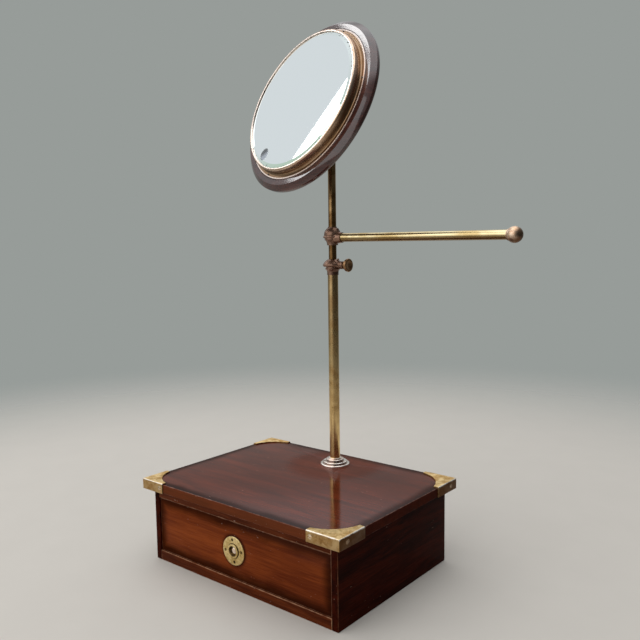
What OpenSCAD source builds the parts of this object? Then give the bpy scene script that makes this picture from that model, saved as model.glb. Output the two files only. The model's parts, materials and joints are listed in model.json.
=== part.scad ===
// Shaving mirror on a telescopic brass column, standing on a case with one drawer.
// A round bevelled glass in a turned wooden frame tilts and swivels on the column's rod,
// a side arm with a ball end swings below it, and a thumbscrew clamps the rod's height.
// Millimetres. X runs left to right along the front, Y into the depth, Z up.
// The origin is the centre of the underside, on the table.

/* [Case] */
// Width across the side boards
case_w = 275; // [230:1:340]
// Depth from the front rails to the back board
case_d = 203; // [180:1:260]
// Height from the table to the top board
case_h = 87; // [75:1:120]
// Thickness of the side boards and the back board
board_t = 8; // [6:0.5:12]
// Thickness of the bottom board
floor_t = 6; // [4:0.5:8]
// Height of the rail under the drawer
bottom_rail_h = 12; // [10:0.5:18]
// Height of the rail over the drawer
top_rail_h = 10.5; // [9:0.5:16]
// Depth of both front rails
rail_d = 20; // [14:1:30]
// Width of the drawer runners and of the kickers over them
runner_w = 12; // [8:0.5:18]
// Length of each drawer stop along the back
stop_l = 30; // [15:1:50]

/* [Top board] */
// Thickness of the top board
top_t = 10.8; // [9:0.1:16]
// How far the top board stands out past the case
top_over = 8.5; // [4:0.5:15]
// Radius of the softened edges of the top board
arris_r = 1.2; // [0.6:0.1:2]

/* [Corner caps] */
// Thickness of the brass sheet
cap_t = 1.2; // [0.8:0.1:2]
// Length of each leg of the right-hand caps along the edge of the board
cap_leg = 41; // [34:0.5:60]
// Length of each leg of the left-hand caps
cap_left_leg = 36; // [32:0.5:60]
// Width of the cap at the end of a leg
cap_land = 6.5; // [4:0.5:10]
// Width of the cap across the waist of its hollow edge
cap_waist = 18.5; // [15:0.5:22]
// Distance of the front and rear screws from the end of a leg
cap_screw_inset = 5; // [4.5:0.5:12]
// Distance of the side screws from the corner
cap_side_screw = 13; // [9:0.5:26]
// Rise of a cap screw's domed head
cap_screw_rise = 0.4; // [0.2:0.1:0.8]
// Head diameter of the small countersunk screws
screw_head_d = 5; // [4:0.1:6]
// Shank diameter of the small countersunk screws
screw_d = 2.5; // [2:0.1:3]
// Length of the small countersunk screws
screw_l = 9; // [6:0.5:11]

/* [Drawer] */
// Gap between the drawer front and the opening at each end
drawer_side_gap = 0.8; // [0.4:0.1:1.5]
// Gap between the drawer front and the rails, above and below
drawer_rail_gap = 0.5; // [0.4:0.1:1]
// Thickness of the drawer front
front_t = 12; // [10:0.5:16]
// How far the drawer front lies back from the rails
front_setback = 1.2; // [0:0.1:3]
// Thickness of the drawer sides and the drawer back
drawer_side_t = 6; // [5:0.5:9]
// Thickness of the drawer bottom
drawer_bottom_t = 4; // [3:0.5:6]
// Height of the drawer bottom over the lower edge of the sides
drawer_bottom_lift = 4; // [3:0.5:8]
// Depth of the groove that holds the drawer bottom
groove_deep = 3; // [2:0.5:4]
// Length of the dovetails in the drawer front
tail_l = 9; // [6:0.5:9.5]

/* [Push knob] */
// Distance of the knob from the middle of the drawer, along X
knob_x = -5.5; // [-30:0.5:30]
// Diameter of the round plate
plate_d = 32; // [28:0.5:40]
// Thickness of the round plate
plate_t = 1.3; // [1:0.1:2.5]
// Diameter of the circle of plate screws
plate_screw_pcd = 24.4; // [23:0.1:27]
// Diameter of the raised ring round the knob
ring_d = 16; // [15.6:0.1:17]
// Height of the raised ring over the plate
ring_h = 1.2; // [0.8:0.1:2]
// Diameter of the knob
knob_d = 10.5; // [8:0.1:11]
// How far the knob's dome lies inside the raised ring when pushed in
knob_recess = 1; // [0.2:0.1:2]
// How far the knob comes out
knob_travel = 9; // [4:0.5:12]
// Outer diameter of the threaded barrel
barrel_d = 15; // [14.4:0.1:15.4]
// Wall of the barrel round the spring chamber
barrel_wall = 1.2; // [1:0.1:1.6]
// Wire diameter of the knob's spring
spring_wire = 1; // [0.6:0.1:1.2]
// Turns of the knob's spring
spring_turns = 4; // [3:1:5]

/* [Column] */
// Distance of the column in front of the back of the case
column_inset = 31.5; // [24:0.5:50]
// Outer diameter of the fixed tube
tube_d = 12.7; // [12:0.1:13.2]
// Diameter of the sliding rod
rod_d = 9.5; // [8:0.1:10]
// Depth that the tube is let into the top board
tube_socket = 8; // [5:0.5:9]
// Height of the thumbscrew axis over the top board
clamp_h = 247.7; // [180:1:300]
// Height of the rod's foot over the plug in the tube's foot
rod_foot_gap = 21; // [15:0.5:60]
// Height of the mirror's pivot over the top board
pivot_h = 417.7; // [400:1:430]
// Diameter of the foot flange
flange_d = 36; // [32:0.5:44]
// Height of the foot flange
flange_h = 9.7; // [8:0.1:14]
// Diameter of the stud that bolts the column to the top board
stud_d = 8; // [6:0.5:9]

/* [Clamp collar] */
// Diameter of the widest bead of the clamp collar
clamp_bead_d = 24; // [22.8:0.1:28]
// Diameter of the small ring under the bead
clamp_ring_d = 18.5; // [17:0.1:20]
// Reach of the boss that carries the thumbscrew, from the column axis
clamp_boss_l = 17; // [14:0.5:20]
// Diameter of the boss
clamp_boss_d = 9.4; // [8:0.1:11]
// Diameter of the thumbscrew's shank
thumb_shank_d = 5; // [4:0.1:6]
// Diameter of the thumbscrew's head
thumb_head_d = 16; // [13:0.5:22]
// Reach of the thumbscrew's face, from the column axis
thumb_reach = 25; // [23:0.5:30]

/* [Side arm] */
// Height of the arm over the top board
arm_h = 280.6; // [276:0.5:290]
// Distance from the column axis to the centre of the ball
arm_l = 232.8; // [120:1:280]
// Outer diameter of the arm tube
arm_d = 10.3; // [8:0.1:11]
// Wall of the arm tube
arm_wall = 1.2; // [0.8:0.1:1.8]
// Diameter of the ball
ball_d = 17; // [14:0.5:24]
// Diameter of the widest bead of the arm collar
arm_bead_d = 22.6; // [21.5:0.1:26]

/* [Mirror head] */
// Turn of the mirror towards the left
head_turn = 10.85; // [0:0.05:30]
// Tilt of the mirror, upwards from upright
head_tilt = 22.1; // [0:0.1:40]
// Diameter of the sleeve on the rod
sleeve_d = 14; // [12.5:0.1:16]
// Thickness of the tongue between the lugs
tongue_t = 6; // [4:0.5:8]
// Radius of the pivot eyes
eye_r = 8; // [6:0.5:9]
// Diameter of the pivot bolt
bolt_d = 5; // [4:0.1:6]
// Gap between the tongue and each lug
lug_gap = 0.3; // [0.1:0.05:0.5]
// Thickness of each lug
lug_t = 4; // [3:0.5:6]
// Distance from the pivot to the back plate
pivot_reach = 27.8; // [24:0.1:34]
// Diameter of the back plate
back_plate_d = 64; // [54:1:90]
// Thickness of the back plate
back_plate_t = 2.5; // [2:0.1:4]

/* [Mirror] */
// Radius of the turned wooden frame
frame_r = 105.8; // [102:0.1:108]
// Thickness of the wooden frame
frame_t = 11; // [9:0.1:13]
// Width of the chamfer on the front of the wooden frame
chamfer_w = 5.9; // [3:0.1:8]
// Depth of the chamfer on the front of the wooden frame
chamfer_d = 4.6; // [2:0.1:5]
// Outer radius of the bezel's flange
bezel_flange_r = 92.9; // [91:0.1:96]
// Thickness of the bezel's flange
bezel_flange_t = 0.6; // [0.5:0.1:1.2]
// Height of the bezel over the wooden frame
bezel_h = 11.3; // [10.5:0.1:14]
// Outer radius of the bezel's wall
bezel_wall_r = 87.4; // [86:0.1:88.6]
// Thickness of the bezel's wall
bezel_wall_t = 1.3; // [1:0.1:2]
// Radius of the bezel's opening
bezel_open_r = 84.4; // [82:0.1:84.6]
// Thickness of the lip over the edge of the glass
bezel_lip_t = 1.2; // [0.8:0.1:1.5]
// Radius of the hollow between the bezel's wall and its flange
cove_r = 2; // [1:0.1:2.2]
// Thickness of the glass
glass_t = 5; // [4:0.1:5.5]
// Width of the bevel inside the opening
bevel_w = 4.9; // [3:0.1:12]
// Depth of the bevel at the opening's edge
bevel_deep = 1; // [0.6:0.1:1.6]
// Number of pins that hold the bezel
pin_count = 6; // [4:1:12]
// Diameter of the pin heads
pin_head_d = 2.2; // [1.6:0.1:2.6]

/* [Fits] */
// Radial clearance of a fixed fit
fit = 0.05; // [0.02:0.01:0.08]
// Radial clearance of a running fit
run = 0.05; // [0.02:0.01:0.09]
// Gap under a sliding or turning face
seat_gap = 0.3; // [0.15:0.05:0.4]

/* [Hidden] */
$fn = 96;

// Colours
mahogany = "#6b3a26";
mahogany_dark = "#3e2419";
drawer_wood = "#84441f";
pine = "#b08a5a";
brass = "#b5975a";
bright_brass = "#cdb765";
bronze = "#7d5a44";
steel = "#8a8a88";
silver_glass = "#c9cfd0";

// Small overlap that keeps a cut clear of the face it opens
eps = 0.5;
// Facets of the large round pieces
fine = 180;

// Case
half_w = case_w / 2;
half_d = case_d / 2;
inner_half_w = half_w - board_t;
back_y = half_d - board_t;
rail_back_y = rail_d - half_d;
drawer_low_z = bottom_rail_h;
drawer_high_z = case_h - top_rail_h;
runner_len = back_y - rail_back_y;
stop_h = 8;
stop_inset = 6;

// Top board
top_w = case_w + 2 * top_over;
top_d = case_d + 2 * top_over;
top_z = case_h + top_t;
top_screw_d = 4;
top_screw_head_d = 7.6;
top_screw_l = top_rail_h + 7;
top_screw_at = [0.2, 0.8];

// Corner caps: the hollow edge is a circle through both land corners and the waist
cap_height = top_t + cap_t;
cap_half_w = top_w / 2 + cap_t;
cap_half_d = top_d / 2 + cap_t;
cap_cx = (cap_leg * cap_leg + cap_land * cap_land - 2 * cap_waist * cap_waist)
    / (2 * (cap_leg + cap_land - 2 * cap_waist));
cap_cut_r = sqrt(2) * (cap_cx - cap_waist);
cap_edge_r = 1.3;
cap_screw_z = case_h + cap_height / 2;
slot_w = 0.7;
slot_deep = 0.6;

// Drawer
panel_play = 0.2;
front_face_y = front_setback - half_d;
front_back_y = front_face_y + front_t;
front_half_w = inner_half_w - drawer_side_gap;
front_low_z = drawer_low_z + drawer_rail_gap;
front_high_z = drawer_high_z - drawer_rail_gap;
side_low_z = drawer_low_z + seat_gap;
side_high_z = drawer_high_z - 2 * drawer_rail_gap;
stop_d = 5.2;
drawer_end_y = back_y - stop_d - seat_gap;
drawer_in_half_w = front_half_w - drawer_side_t;
panel_z = side_low_z + drawer_bottom_lift;
panel_lap = groove_deep - panel_play;
back_low_z = panel_z + drawer_bottom_t;
tail_count = 3;
tail_pitch = (side_high_z - side_low_z) / tail_count;
tail_slope = 1 / 6;
tail_root = tail_pitch * 0.42;
shoulder_y = drawer_end_y - drawer_side_t;

// Push knob
knob_drop = 0.45;
knob_z = (front_low_z + front_high_z) / 2 - knob_drop;
ring_face_y = front_face_y - plate_t - ring_h;
knob_tip_y = ring_face_y + knob_recess;
knob_flange_t = 2.5;
knob_flange_d = barrel_d - 2 * barrel_wall - 2 * run;
knob_len = front_t + plate_t + ring_h + 3;
plate_edge = 0.6;
ring_edge = 0.5;
knob_end_y = knob_tip_y + knob_len;
barrel_lip_y = knob_end_y - knob_flange_t - knob_travel - seat_gap;
spring_len = 9;
spring_play = 0.6;
spring_steps = 14;
spring_sides = 6;
spring_rings = spring_steps * spring_turns + 1;
spring_pitch = (spring_len - spring_wire) / spring_turns;
chamber_end_y = knob_end_y + spring_len + 2 * seat_gap;
barrel_end_y = chamber_end_y + barrel_wall;
spring_mean_r = knob_flange_d / 2 - spring_wire / 2 - spring_play;
barrel_nut_af = 20;
barrel_nut_t = 4;
plate_screw_turn = 6;
plate_screws_n = 4;
plate_screw_head_d = 3.4;
plate_screw_d = 2;

// Column
column_y = half_d - column_inset;
tube_r = tube_d / 2;
rod_r = rod_d / 2;
bore_r = rod_r + run;
tube_bottom_z = top_z - tube_socket;
clamp_z = top_z + clamp_h;
tube_above_clamp = 3.8;
tube_top_z = clamp_z + tube_above_clamp;
pivot_z = top_z + pivot_h;
rod_below_pivot = 14.7;
rod_top_z = pivot_z - rod_below_pivot;
stud_plug_l = 20;
rod_bottom_z = tube_bottom_z + stud_plug_l + rod_foot_gap;
stud_washer_t = 1.5;
stud_nut_t = 5;
stud_nut_af = 13;
stud_tail = 1.5;
stud_end_z = case_h - stud_washer_t - stud_nut_t - stud_tail;
flange_screw_r = 12.9;
flange_screws_n = 3;
flange_screw_turn = -11;
flange_tier = [flange_h * 0.29, flange_h * 0.56, flange_h * 0.84];
flange_tier_r = [flange_d / 2, flange_d / 2 * 0.83, flange_d / 2 * 0.6];
flange_edge = [1.2, 1.1, 1];
flange_lip = 1.8;
flange_lip_edge = 0.7;
flange_screw_head_d = 3;
flange_screw_d = 1.8;
flange_screw_l = flange_tier[1] + 5;

// Clamp collar, heights from the thumbscrew axis
clamp_low = -11.8;
clamp_high = 7;
clamp_dome_r = 13;
clamp_dome_drop = 4.6;
clamp_foot_h = 3.4;
clamp_boss_edge = 1;
skirt_r = tube_r + fit + 0.6;
guide_slope = 40;
guide_d = 2.2;
guide_l = 3.9;
guide_lift = 1.3;
guide_hole_l = guide_l + 4;
clamp_guide_z = clamp_z + 4;

// Side arm, heights from the arm axis
arm_z = top_z + arm_h;
arm_r = arm_d / 2;
collar_low = -9;
collar_high = 13;
collar_low_r = 6.65;
collar_foot_h = 0.6;
collar_dome_r = 10.2;
collar_dome_z = 3.36;
collar_neck_h = 0.9;
collar_neck_t = 0.7;
arm_guide_z = arm_z + 7.2;
arm_start = 9;
arm_boss_l = 15;
arm_boss_root = 3;
arm_boss_rim = 0.95;
stop_ring_t = 1.7;
stop_ring_r = rod_r + 1.15;
stop_ring_play = 0.2;
arm_bead_t = 1.5;
arm_bead_lift = 0.1;
ball_r = ball_d / 2;
ball_plug_l = 9;
arm_end = arm_l - sqrt(ball_r * ball_r - arm_r * arm_r) - arm_bead_t / 2;

// Mirror head, distances from the pivot
sleeve_high = -12.5;
sleeve_l = 18;
sleeve_edge = 2;
sleeve_bead_r = 1.6;
sleeve_bead_in = 0.6;
sleeve_play = 0.2;
tongue_w = 12;
lug_in = tongue_t / 2 + lug_gap;
lug_out = lug_in + lug_t;
lug_half_h = eye_r - 1;
lug_foot_h = 14;
lug_foot_r = 6;
lug_foot_t = 1;
lug_foot_nose = 0.8;
bolt_head_r = bolt_d;
nut_r = 7.5;
nut_t = 6;
nut_grips = 12;
nut_grip_r = 1.1;
nut_edge = 0.8;
bolt_head_t = 3;
bolt_head_edge = 1.4;
bolt_tail = 1.5;
back_plate_edge = 1;
plate_screw_ring_r = back_plate_d / 2 - 6;
pivot_screws_n = 4;
pivot_screw_l = 10;

// Mirror, distances along the normal from the pivot
board_back = pivot_reach + back_plate_t;
board_front = board_back + frame_t;
bezel_top = board_front + bezel_h;
lip_under = bezel_top - bezel_lip_t;
glass_play = 0.1;
glass_r = bezel_wall_r - bezel_wall_t - glass_play;
bevel_in_r = bezel_open_r - bevel_w;
bevel_slope = bevel_deep / bevel_w;
glass_front = lip_under - glass_play + bevel_deep;
glass_back = glass_front - glass_t;
back_round = 3.8;
backing_r = glass_r - 1;
bezel_edge = 0.3;
bezel_top_round = 1.9;
pin_r = bezel_wall_r + cove_r + pin_head_d / 2 + 0.1;
pin_turn = 10;
pin_l = 9;
pin_shank_r = 0.55;
pin_head_h = 0.7;
pin_head_edge = 0.5;

// Shapes used by several pieces

// A rectangle centred on the origin with rounded corners
module rounded_rect(w, h, r) {
    square([w - 2 * r, h], center = true);
    square([w, h - 2 * r], center = true);
    for (sx = [-1, 1], sy = [-1, 1])
        translate([sx * (w / 2 - r), sy * (h / 2 - r)])
            circle(r);
}

// A board from z = 0 to h, centred on the z axis, with every edge softened
module soft_board(w, d, h, r) {
    intersection() {
        linear_extrude(h)
            rounded_rect(w, d, r);
        translate([0, d / 2 + 1, h / 2])
            rotate([90, 0, 0])
                linear_extrude(d + 2)
                    rounded_rect(w, h, r);
        translate([-w / 2 - 1, 0, h / 2])
            rotate([90, 0, 90])
                linear_extrude(w + 2)
                    rounded_rect(d, h, r);
    }
}

// A box given by its two corners
module box(low, high) {
    translate(low)
        cube(high - low);
}

// Half section of a round tier with its upper outer edge rounded
module tier(r, h, edge) {
    e = min(edge, h / 2);
    square([r - e, h]);
    square([r, h - e]);
    translate([r - e, h - e])
        circle(e);
}

// A band right of the axis, between two heights, wider than any turned piece unless r is given
module half_band(low, high, r = top_w) {
    translate([0, low])
        square([r, high - low]);
}

// A countersunk screw along +Z, its head's rim at z = 0 and its point below;
// a rise above 0 gives the head a low dome
module countersunk_screw(head_d, d, l, rise = 0) {
    cone_h = (head_d - d) / 2;
    difference() {
        rotate_extrude() {
            polygon([[0, 0], [head_d / 2, 0], [d / 2, -cone_h], [d / 2, -l + d], [0, -l]]);
            if (rise > 0)
                dome_section(head_d / 2, rise);
        }
        translate([-head_d, -slot_w / 2, -slot_deep])
            cube([2 * head_d, slot_w, slot_deep + rise + eps]);
    }
}

// Section of a low dome that stands on z = 0
module dome_section(r, rise) {
    dome_r = (r * r + rise * rise) / (2 * rise);
    intersection() {
        translate([0, rise - dome_r])
            circle(dome_r, $fn = fine);
        half_band(0, rise);
    }
}

// The hole for such a screw, a little wider and deeper than the screw
module countersunk_hole(head_d, d, l) {
    cone_h = (head_d - d) / 2;
    rotate_extrude()
        polygon([
            [0, eps], [head_d / 2 + fit, eps], [head_d / 2 + fit, 0],
            [d / 2 + fit, -cone_h], [d / 2 + fit, -l - fit], [0, -l - fit]
        ]);
}

// A hexagonal nut along +Z from z = 0, its far corners turned off at 30 degrees
module hex_nut(flats, t, hole_r) {
    crown_r = flats * 0.47;
    difference() {
        intersection() {
            cylinder(h = t, d = flats / cos(30), $fn = 6);
            cylinder(h = t, r1 = crown_r + t / tan(30), r2 = crown_r);
        }
        translate([0, 0, -eps])
            cylinder(h = t + 2 * eps, r = hole_r);
    }
}

// Places its children on the column axis
module on_column() {
    translate([0, column_y, 0])
        children();
}

// Places its children in the mirror's own frame: z along its normal, y up the glass
module on_mirror() {
    translate([0, column_y, pivot_z])
        rotate([0, 0, -head_turn])
            rotate([-head_tilt, 0, 0])
                rotate([90, 0, 0])
                    children();
}

// Copies its children to all four corners of the top, by mirroring
module at_corner(sx, sy) {
    mirror([sx < 0 ? 1 : 0, 0, 0])
        mirror([0, sy < 0 ? 1 : 0, 0])
            children();
}

// Case

module side_board(s) {
    color(mahogany_dark)
        box([s > 0 ? inner_half_w : -half_w, -half_d, 0],
            [s > 0 ? half_w : -inner_half_w, half_d, case_h]);
}

module carcass_back() {
    color(mahogany_dark)
        box([-inner_half_w, back_y, 0], [inner_half_w, half_d, case_h]);
}

module bottom_board() {
    color(pine)
        box([-inner_half_w, rail_back_y, 0], [inner_half_w, back_y, floor_t]);
}

module bottom_rail() {
    color(mahogany)
        box([-inner_half_w, -half_d, 0], [inner_half_w, rail_back_y, bottom_rail_h]);
}

module top_rail() {
    color(mahogany)
        box([-inner_half_w, -half_d, drawer_high_z], [inner_half_w, rail_back_y, case_h]);
}

module runner(s) {
    x = inner_half_w - runner_w / 2;
    color(pine)
        translate([s * x - runner_w / 2, rail_back_y, floor_t])
            cube([runner_w, runner_len, bottom_rail_h - floor_t]);
}

module kicker(s) {
    x = inner_half_w - runner_w / 2;
    color(pine)
        difference() {
            translate([s * x - runner_w / 2, rail_back_y, drawer_high_z])
                cube([runner_w, runner_len, top_rail_h]);
            top_screw_places(s)
                mirror([0, 0, 1])
                    countersunk_hole(top_screw_head_d, top_screw_d, top_screw_l);
        }
}

// The screws stand in the kickers, a fifth of a kicker's length from each end
module top_screw_places(s) {
    for (k = top_screw_at)
        translate([s * (inner_half_w - runner_w / 2), rail_back_y + k * runner_len, drawer_high_z])
            children();
}

module drawer_stops() {
    color(pine)
        for (s = [-1, 1])
            translate([s * (inner_half_w - runner_w - stop_inset - stop_l / 2) - stop_l / 2,
                       back_y - stop_d, floor_t])
                cube([stop_l, stop_d, bottom_rail_h - floor_t + stop_h]);
}

// Top board

module top_board() {
    color(mahogany)
        difference() {
            translate([0, 0, case_h])
                soft_board(top_w, top_d, top_t, arris_r);
            on_column() {
                translate([0, 0, tube_bottom_z])
                    cylinder(h = tube_socket + eps, r = tube_r + fit);
                translate([0, 0, case_h - eps])
                    cylinder(h = top_t + eps, r = stud_d / 2 + fit);
            }
            flange_screw_places()
                countersunk_hole(flange_screw_head_d, flange_screw_d, flange_screw_l);
            for (s = [-1, 1])
                top_screw_places(s)
                    mirror([0, 0, 1])
                        countersunk_hole(top_screw_d, top_screw_d, top_screw_l);
            cap_screw_places()
                countersunk_hole(screw_head_d, screw_d, screw_l);
        }
}

module top_screws() {
    color(steel)
        for (s = [-1, 1])
            top_screw_places(s)
                mirror([0, 0, 1])
                    countersunk_screw(top_screw_head_d, top_screw_d, top_screw_l);
}

// Corner caps

// Leg of the cap on the left (-1) or right (1)
function leg_of(sx) = sx < 0 ? cap_left_leg : cap_leg;

// Outline of the cap with its outer corner on the origin and its legs along -X and -Y
module cap_outline(leg) {
    scale(leg / cap_leg)
        difference() {
            translate([-cap_leg, -cap_leg])
                square(cap_leg);
            translate([-cap_cx, -cap_cx])
                circle(cap_cut_r, $fn = fine);
        }
}

module corner_cap(sx, sy) {
    color(brass)
        at_corner(sx, sy)
            difference() {
                intersection() {
                    translate([0, 0, case_h - 2 * cap_edge_r])
                        soft_board(2 * cap_half_w, 2 * cap_half_d,
                                   cap_height + 2 * cap_edge_r, cap_edge_r);
                    translate([cap_half_w, cap_half_d, case_h])
                        linear_extrude(cap_height + eps)
                            cap_outline(leg_of(sx));
                }
                translate([0, 0, case_h])
                    soft_board(top_w, top_d, top_t, arris_r);
                box([0, 0, case_h - eps], [top_w / 2, top_d / 2, case_h + arris_r]);
                corner_screw_places(leg_of(sx) - cap_screw_inset)
                    countersunk_hole(screw_head_d, screw_d, screw_l);
            }
}

// Both screws of the corner at +X +Y, with +Z of the screw pointing out of the edge
module corner_screw_places(from_corner) {
    translate([cap_half_w - from_corner, cap_half_d, cap_screw_z])
        rotate([-90, 0, 0])
            children();
    translate([cap_half_w, cap_half_d - cap_side_screw, cap_screw_z])
        rotate([0, 90, 0])
            children();
}

module cap_screw_places() {
    for (sx = [-1, 1], sy = [-1, 1])
        at_corner(sx, sy)
            corner_screw_places(leg_of(sx) - cap_screw_inset)
                children();
}

module cap_screws() {
    color(brass)
        cap_screw_places()
            countersunk_screw(screw_head_d, screw_d, screw_l, cap_screw_rise);
}

// Column

// Three rounded tiers and a low shoulder round the tube
module column_flange() {
    color(bright_brass)
        difference() {
            on_column()
                translate([0, 0, top_z])
                    rotate_extrude()
                        difference() {
                            union() {
                                for (k = [0 : 2])
                                    tier(flange_tier_r[k], flange_tier[k], flange_edge[k]);
                                tier(tube_r + flange_lip, flange_h, flange_lip_edge);
                            }
                            half_band(-eps, flange_h + eps, tube_r + fit);
                        }
            flange_screw_places()
                countersunk_hole(flange_screw_head_d, flange_screw_d, flange_screw_l);
        }
}

// On the middle tier
module flange_screw_places() {
    for (k = [0 : flange_screws_n - 1])
        on_column()
            rotate([0, 0, flange_screw_turn + k * 360 / flange_screws_n])
                translate([flange_screw_r, 0, top_z + flange_tier[1]])
                    children();
}

module flange_screws() {
    color(bronze)
        flange_screw_places()
            countersunk_screw(flange_screw_head_d, flange_screw_d, flange_screw_l);
}

module outer_tube() {
    color(brass)
        difference() {
            on_column()
                translate([0, 0, tube_bottom_z])
                    difference() {
                        cylinder(h = tube_top_z - tube_bottom_z, r = tube_r);
                        translate([0, 0, -eps])
                            cylinder(h = tube_top_z - tube_bottom_z + 2 * eps, r = bore_r);
                    }
            thumb_hole();
        }
}

// Plug in the tube's foot and the stud below it, through the top board
module column_stud() {
    color(steel)
        on_column() {
            translate([0, 0, tube_bottom_z])
                cylinder(h = stud_plug_l, r = bore_r - fit);
            translate([0, 0, stud_end_z])
                cylinder(h = tube_bottom_z - stud_end_z, r = stud_d / 2);
        }
}

module stud_washer() {
    color(steel)
        on_column()
            translate([0, 0, case_h - stud_washer_t])
                difference() {
                    cylinder(h = stud_washer_t, r = stud_d);
                    translate([0, 0, -eps])
                        cylinder(h = stud_washer_t + 2 * eps, r = stud_d / 2 + fit);
                }
}

module stud_nut() {
    color(steel)
        on_column()
            translate([0, 0, case_h - stud_washer_t])
                mirror([0, 0, 1])
                    hex_nut(stud_nut_af, stud_nut_t, stud_d / 2 + fit);
}

// Clamp collar

// Bore of the thumbscrew, from the column axis out through the boss
module thumb_hole() {
    on_column()
        translate([0, 0, clamp_z])
            rotate([0, 90, 0])
                cylinder(h = clamp_boss_l + eps, r = thumb_shank_d / 2 + run);
}

// Flared skirt, small ring, wide bead and dome
module clamp_collar_section() {
    bead_r = 2.3;
    ring_r = 0.9;
    ring_z = -4.3;
    bead_z = 0.2;
    flare_r = 4;
    intersection() {
        half_band(clamp_low, ring_z, clamp_ring_d / 2);
        difference() {
            half_band(clamp_low, ring_z);
            translate([skirt_r + flare_r, clamp_low + clamp_foot_h])
                circle(flare_r);
            translate([skirt_r, clamp_low - eps])
                square([flare_r, clamp_foot_h + eps]);
            translate([skirt_r + flare_r, clamp_low - eps])
                square([flare_r * 2, -clamp_low]);
        }
    }
    translate([clamp_ring_d / 2 - ring_r, ring_z])
        circle(ring_r);
    half_band(ring_z - ring_r, ring_z + ring_r, clamp_ring_d / 2 - ring_r);
    half_band(ring_z, 0, clamp_ring_d / 2 - ring_r);
    translate([clamp_bead_d / 2 - bead_r, bead_z])
        circle(bead_r);
    half_band(bead_z - bead_r, bead_z + bead_r, clamp_bead_d / 2 - bead_r);
    intersection() {
        translate([0, -clamp_dome_drop])
            circle(clamp_dome_r);
        half_band(0, clamp_high);
    }
}

module clamp_collar() {
    color(bronze)
        difference() {
            on_column()
                translate([0, 0, clamp_z])
                    union() {
                        rotate_extrude()
                            difference() {
                                clamp_collar_section();
                                half_band(clamp_low - eps, clamp_high + eps, bore_r);
                                half_band(clamp_low - eps, tube_top_z - clamp_z, tube_r + fit);
                            }
                        difference() {
                            rotate([0, 90, 0])
                                rotate_extrude()
                                    tier(clamp_boss_d / 2, clamp_boss_l, clamp_boss_edge);
                            translate([0, 0, clamp_low])
                                cylinder(h = clamp_high - clamp_low, r = tube_r + fit + eps);
                        }
                    }
            thumb_hole();
            guide_place(clamp_guide_z)
                cylinder(h = guide_hole_l, r = guide_d / 2 + fit);
        }
}

// Frame of a small screw that slopes up through a dome over the +X side,
// its point at the rod's surface
module guide_place(z) {
    on_column()
        translate([rod_r + run, 0, z])
            rotate([0, 90 - guide_slope, 0])
                children();
}

module small_screw() {
    difference() {
        cylinder(h = guide_l, r = guide_d / 2);
        translate([-guide_d, -slot_w / 2, guide_l - slot_deep])
            cube([2 * guide_d, slot_w, slot_deep + eps]);
    }
}

module guide_screw() {
    color(bronze)
        guide_place(clamp_guide_z)
            translate([0, 0, guide_lift])
                small_screw();
}

// Shank, neck, hollow cone behind the head, rim and dished face
module thumbscrew_section() {
    r = thumb_head_d / 2;
    neck_r = thumb_shank_d / 2 + 0.9;
    cone_start = clamp_boss_l + seat_gap + 1;
    rim_t = 2.2;
    rim_over = 0.4;
    dish_r = 18;
    dish_deep = 0.8;
    difference() {
        union() {
            translate([0, rod_r + 2 * run])
                square([thumb_shank_d / 2, cone_start - rod_r]);
            translate([0, clamp_boss_l + seat_gap])
                square([neck_r, thumb_reach - clamp_boss_l - 2]);
            difference() {
                translate([0, cone_start])
                    square([r - rim_over, thumb_reach - rim_t / 2 - cone_start]);
                translate([r, cone_start - rim_t / 2])
                    circle(min(r - neck_r, thumb_reach - rim_t / 2 - cone_start));
            }
            translate([r - rim_t / 2, thumb_reach - rim_t / 2])
                circle(rim_t / 2);
            translate([0, thumb_reach - rim_t])
                square([r - rim_t / 2, rim_t]);
        }
        translate([0, thumb_reach + dish_r - dish_deep])
            circle(dish_r, $fn = fine);
        translate([-r - 1, -eps])
            square([r + 1, thumb_reach + 2 * eps]);
    }
}

module thumbscrew() {
    color(bronze)
        on_column()
            translate([0, 0, clamp_z])
                rotate([0, 90, 0])
                    rotate_extrude()
                        thumbscrew_section();
}

// Rod and arm

module inner_rod() {
    edge = 0.8;
    color(bright_brass)
        on_column()
            translate([0, 0, rod_bottom_z])
                rotate_extrude()
                    tier(rod_r, rod_top_z - rod_bottom_z, edge);
}

// Ring on the rod that carries the arm, inside the collar's foot
module arm_stop_ring() {
    color(steel)
        on_column()
            translate([0, 0, arm_z + collar_low + stop_ring_play])
                difference() {
                    cylinder(h = stop_ring_t, r = stop_ring_r);
                    translate([0, 0, -eps])
                        cylinder(h = stop_ring_t + 2 * eps, r = rod_r + fit);
                }
}

// Flared cup, small ring, thin bead, dome and short neck
module arm_collar_section() {
    bead_r = 1.5;
    ring_r = 0.7;
    ring_z = -2.6;
    ring_inset = 0.2;
    bead_z = 1;
    flare_r = 9;
    cup_r = 9.6;
    difference() {
        half_band(collar_low, 0, cup_r);
        translate([collar_low_r + flare_r, collar_low + collar_foot_h])
            circle(flare_r);
        translate([collar_low_r, collar_low - eps])
            square([flare_r, collar_foot_h + eps]);
    }
    translate([cup_r - ring_inset - ring_r, ring_z])
        circle(ring_r);
    half_band(ring_z, bead_z, cup_r - ring_r);
    translate([arm_bead_d / 2 - bead_r, bead_z])
        circle(bead_r);
    half_band(bead_z - bead_r, bead_z + bead_r, arm_bead_d / 2 - bead_r);
    intersection() {
        translate([0, collar_dome_z])
            circle(collar_dome_r);
        half_band(0, collar_high - collar_neck_h);
    }
    half_band(collar_high - 2 * collar_neck_h, collar_high, bore_r + collar_neck_t);
}

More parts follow.
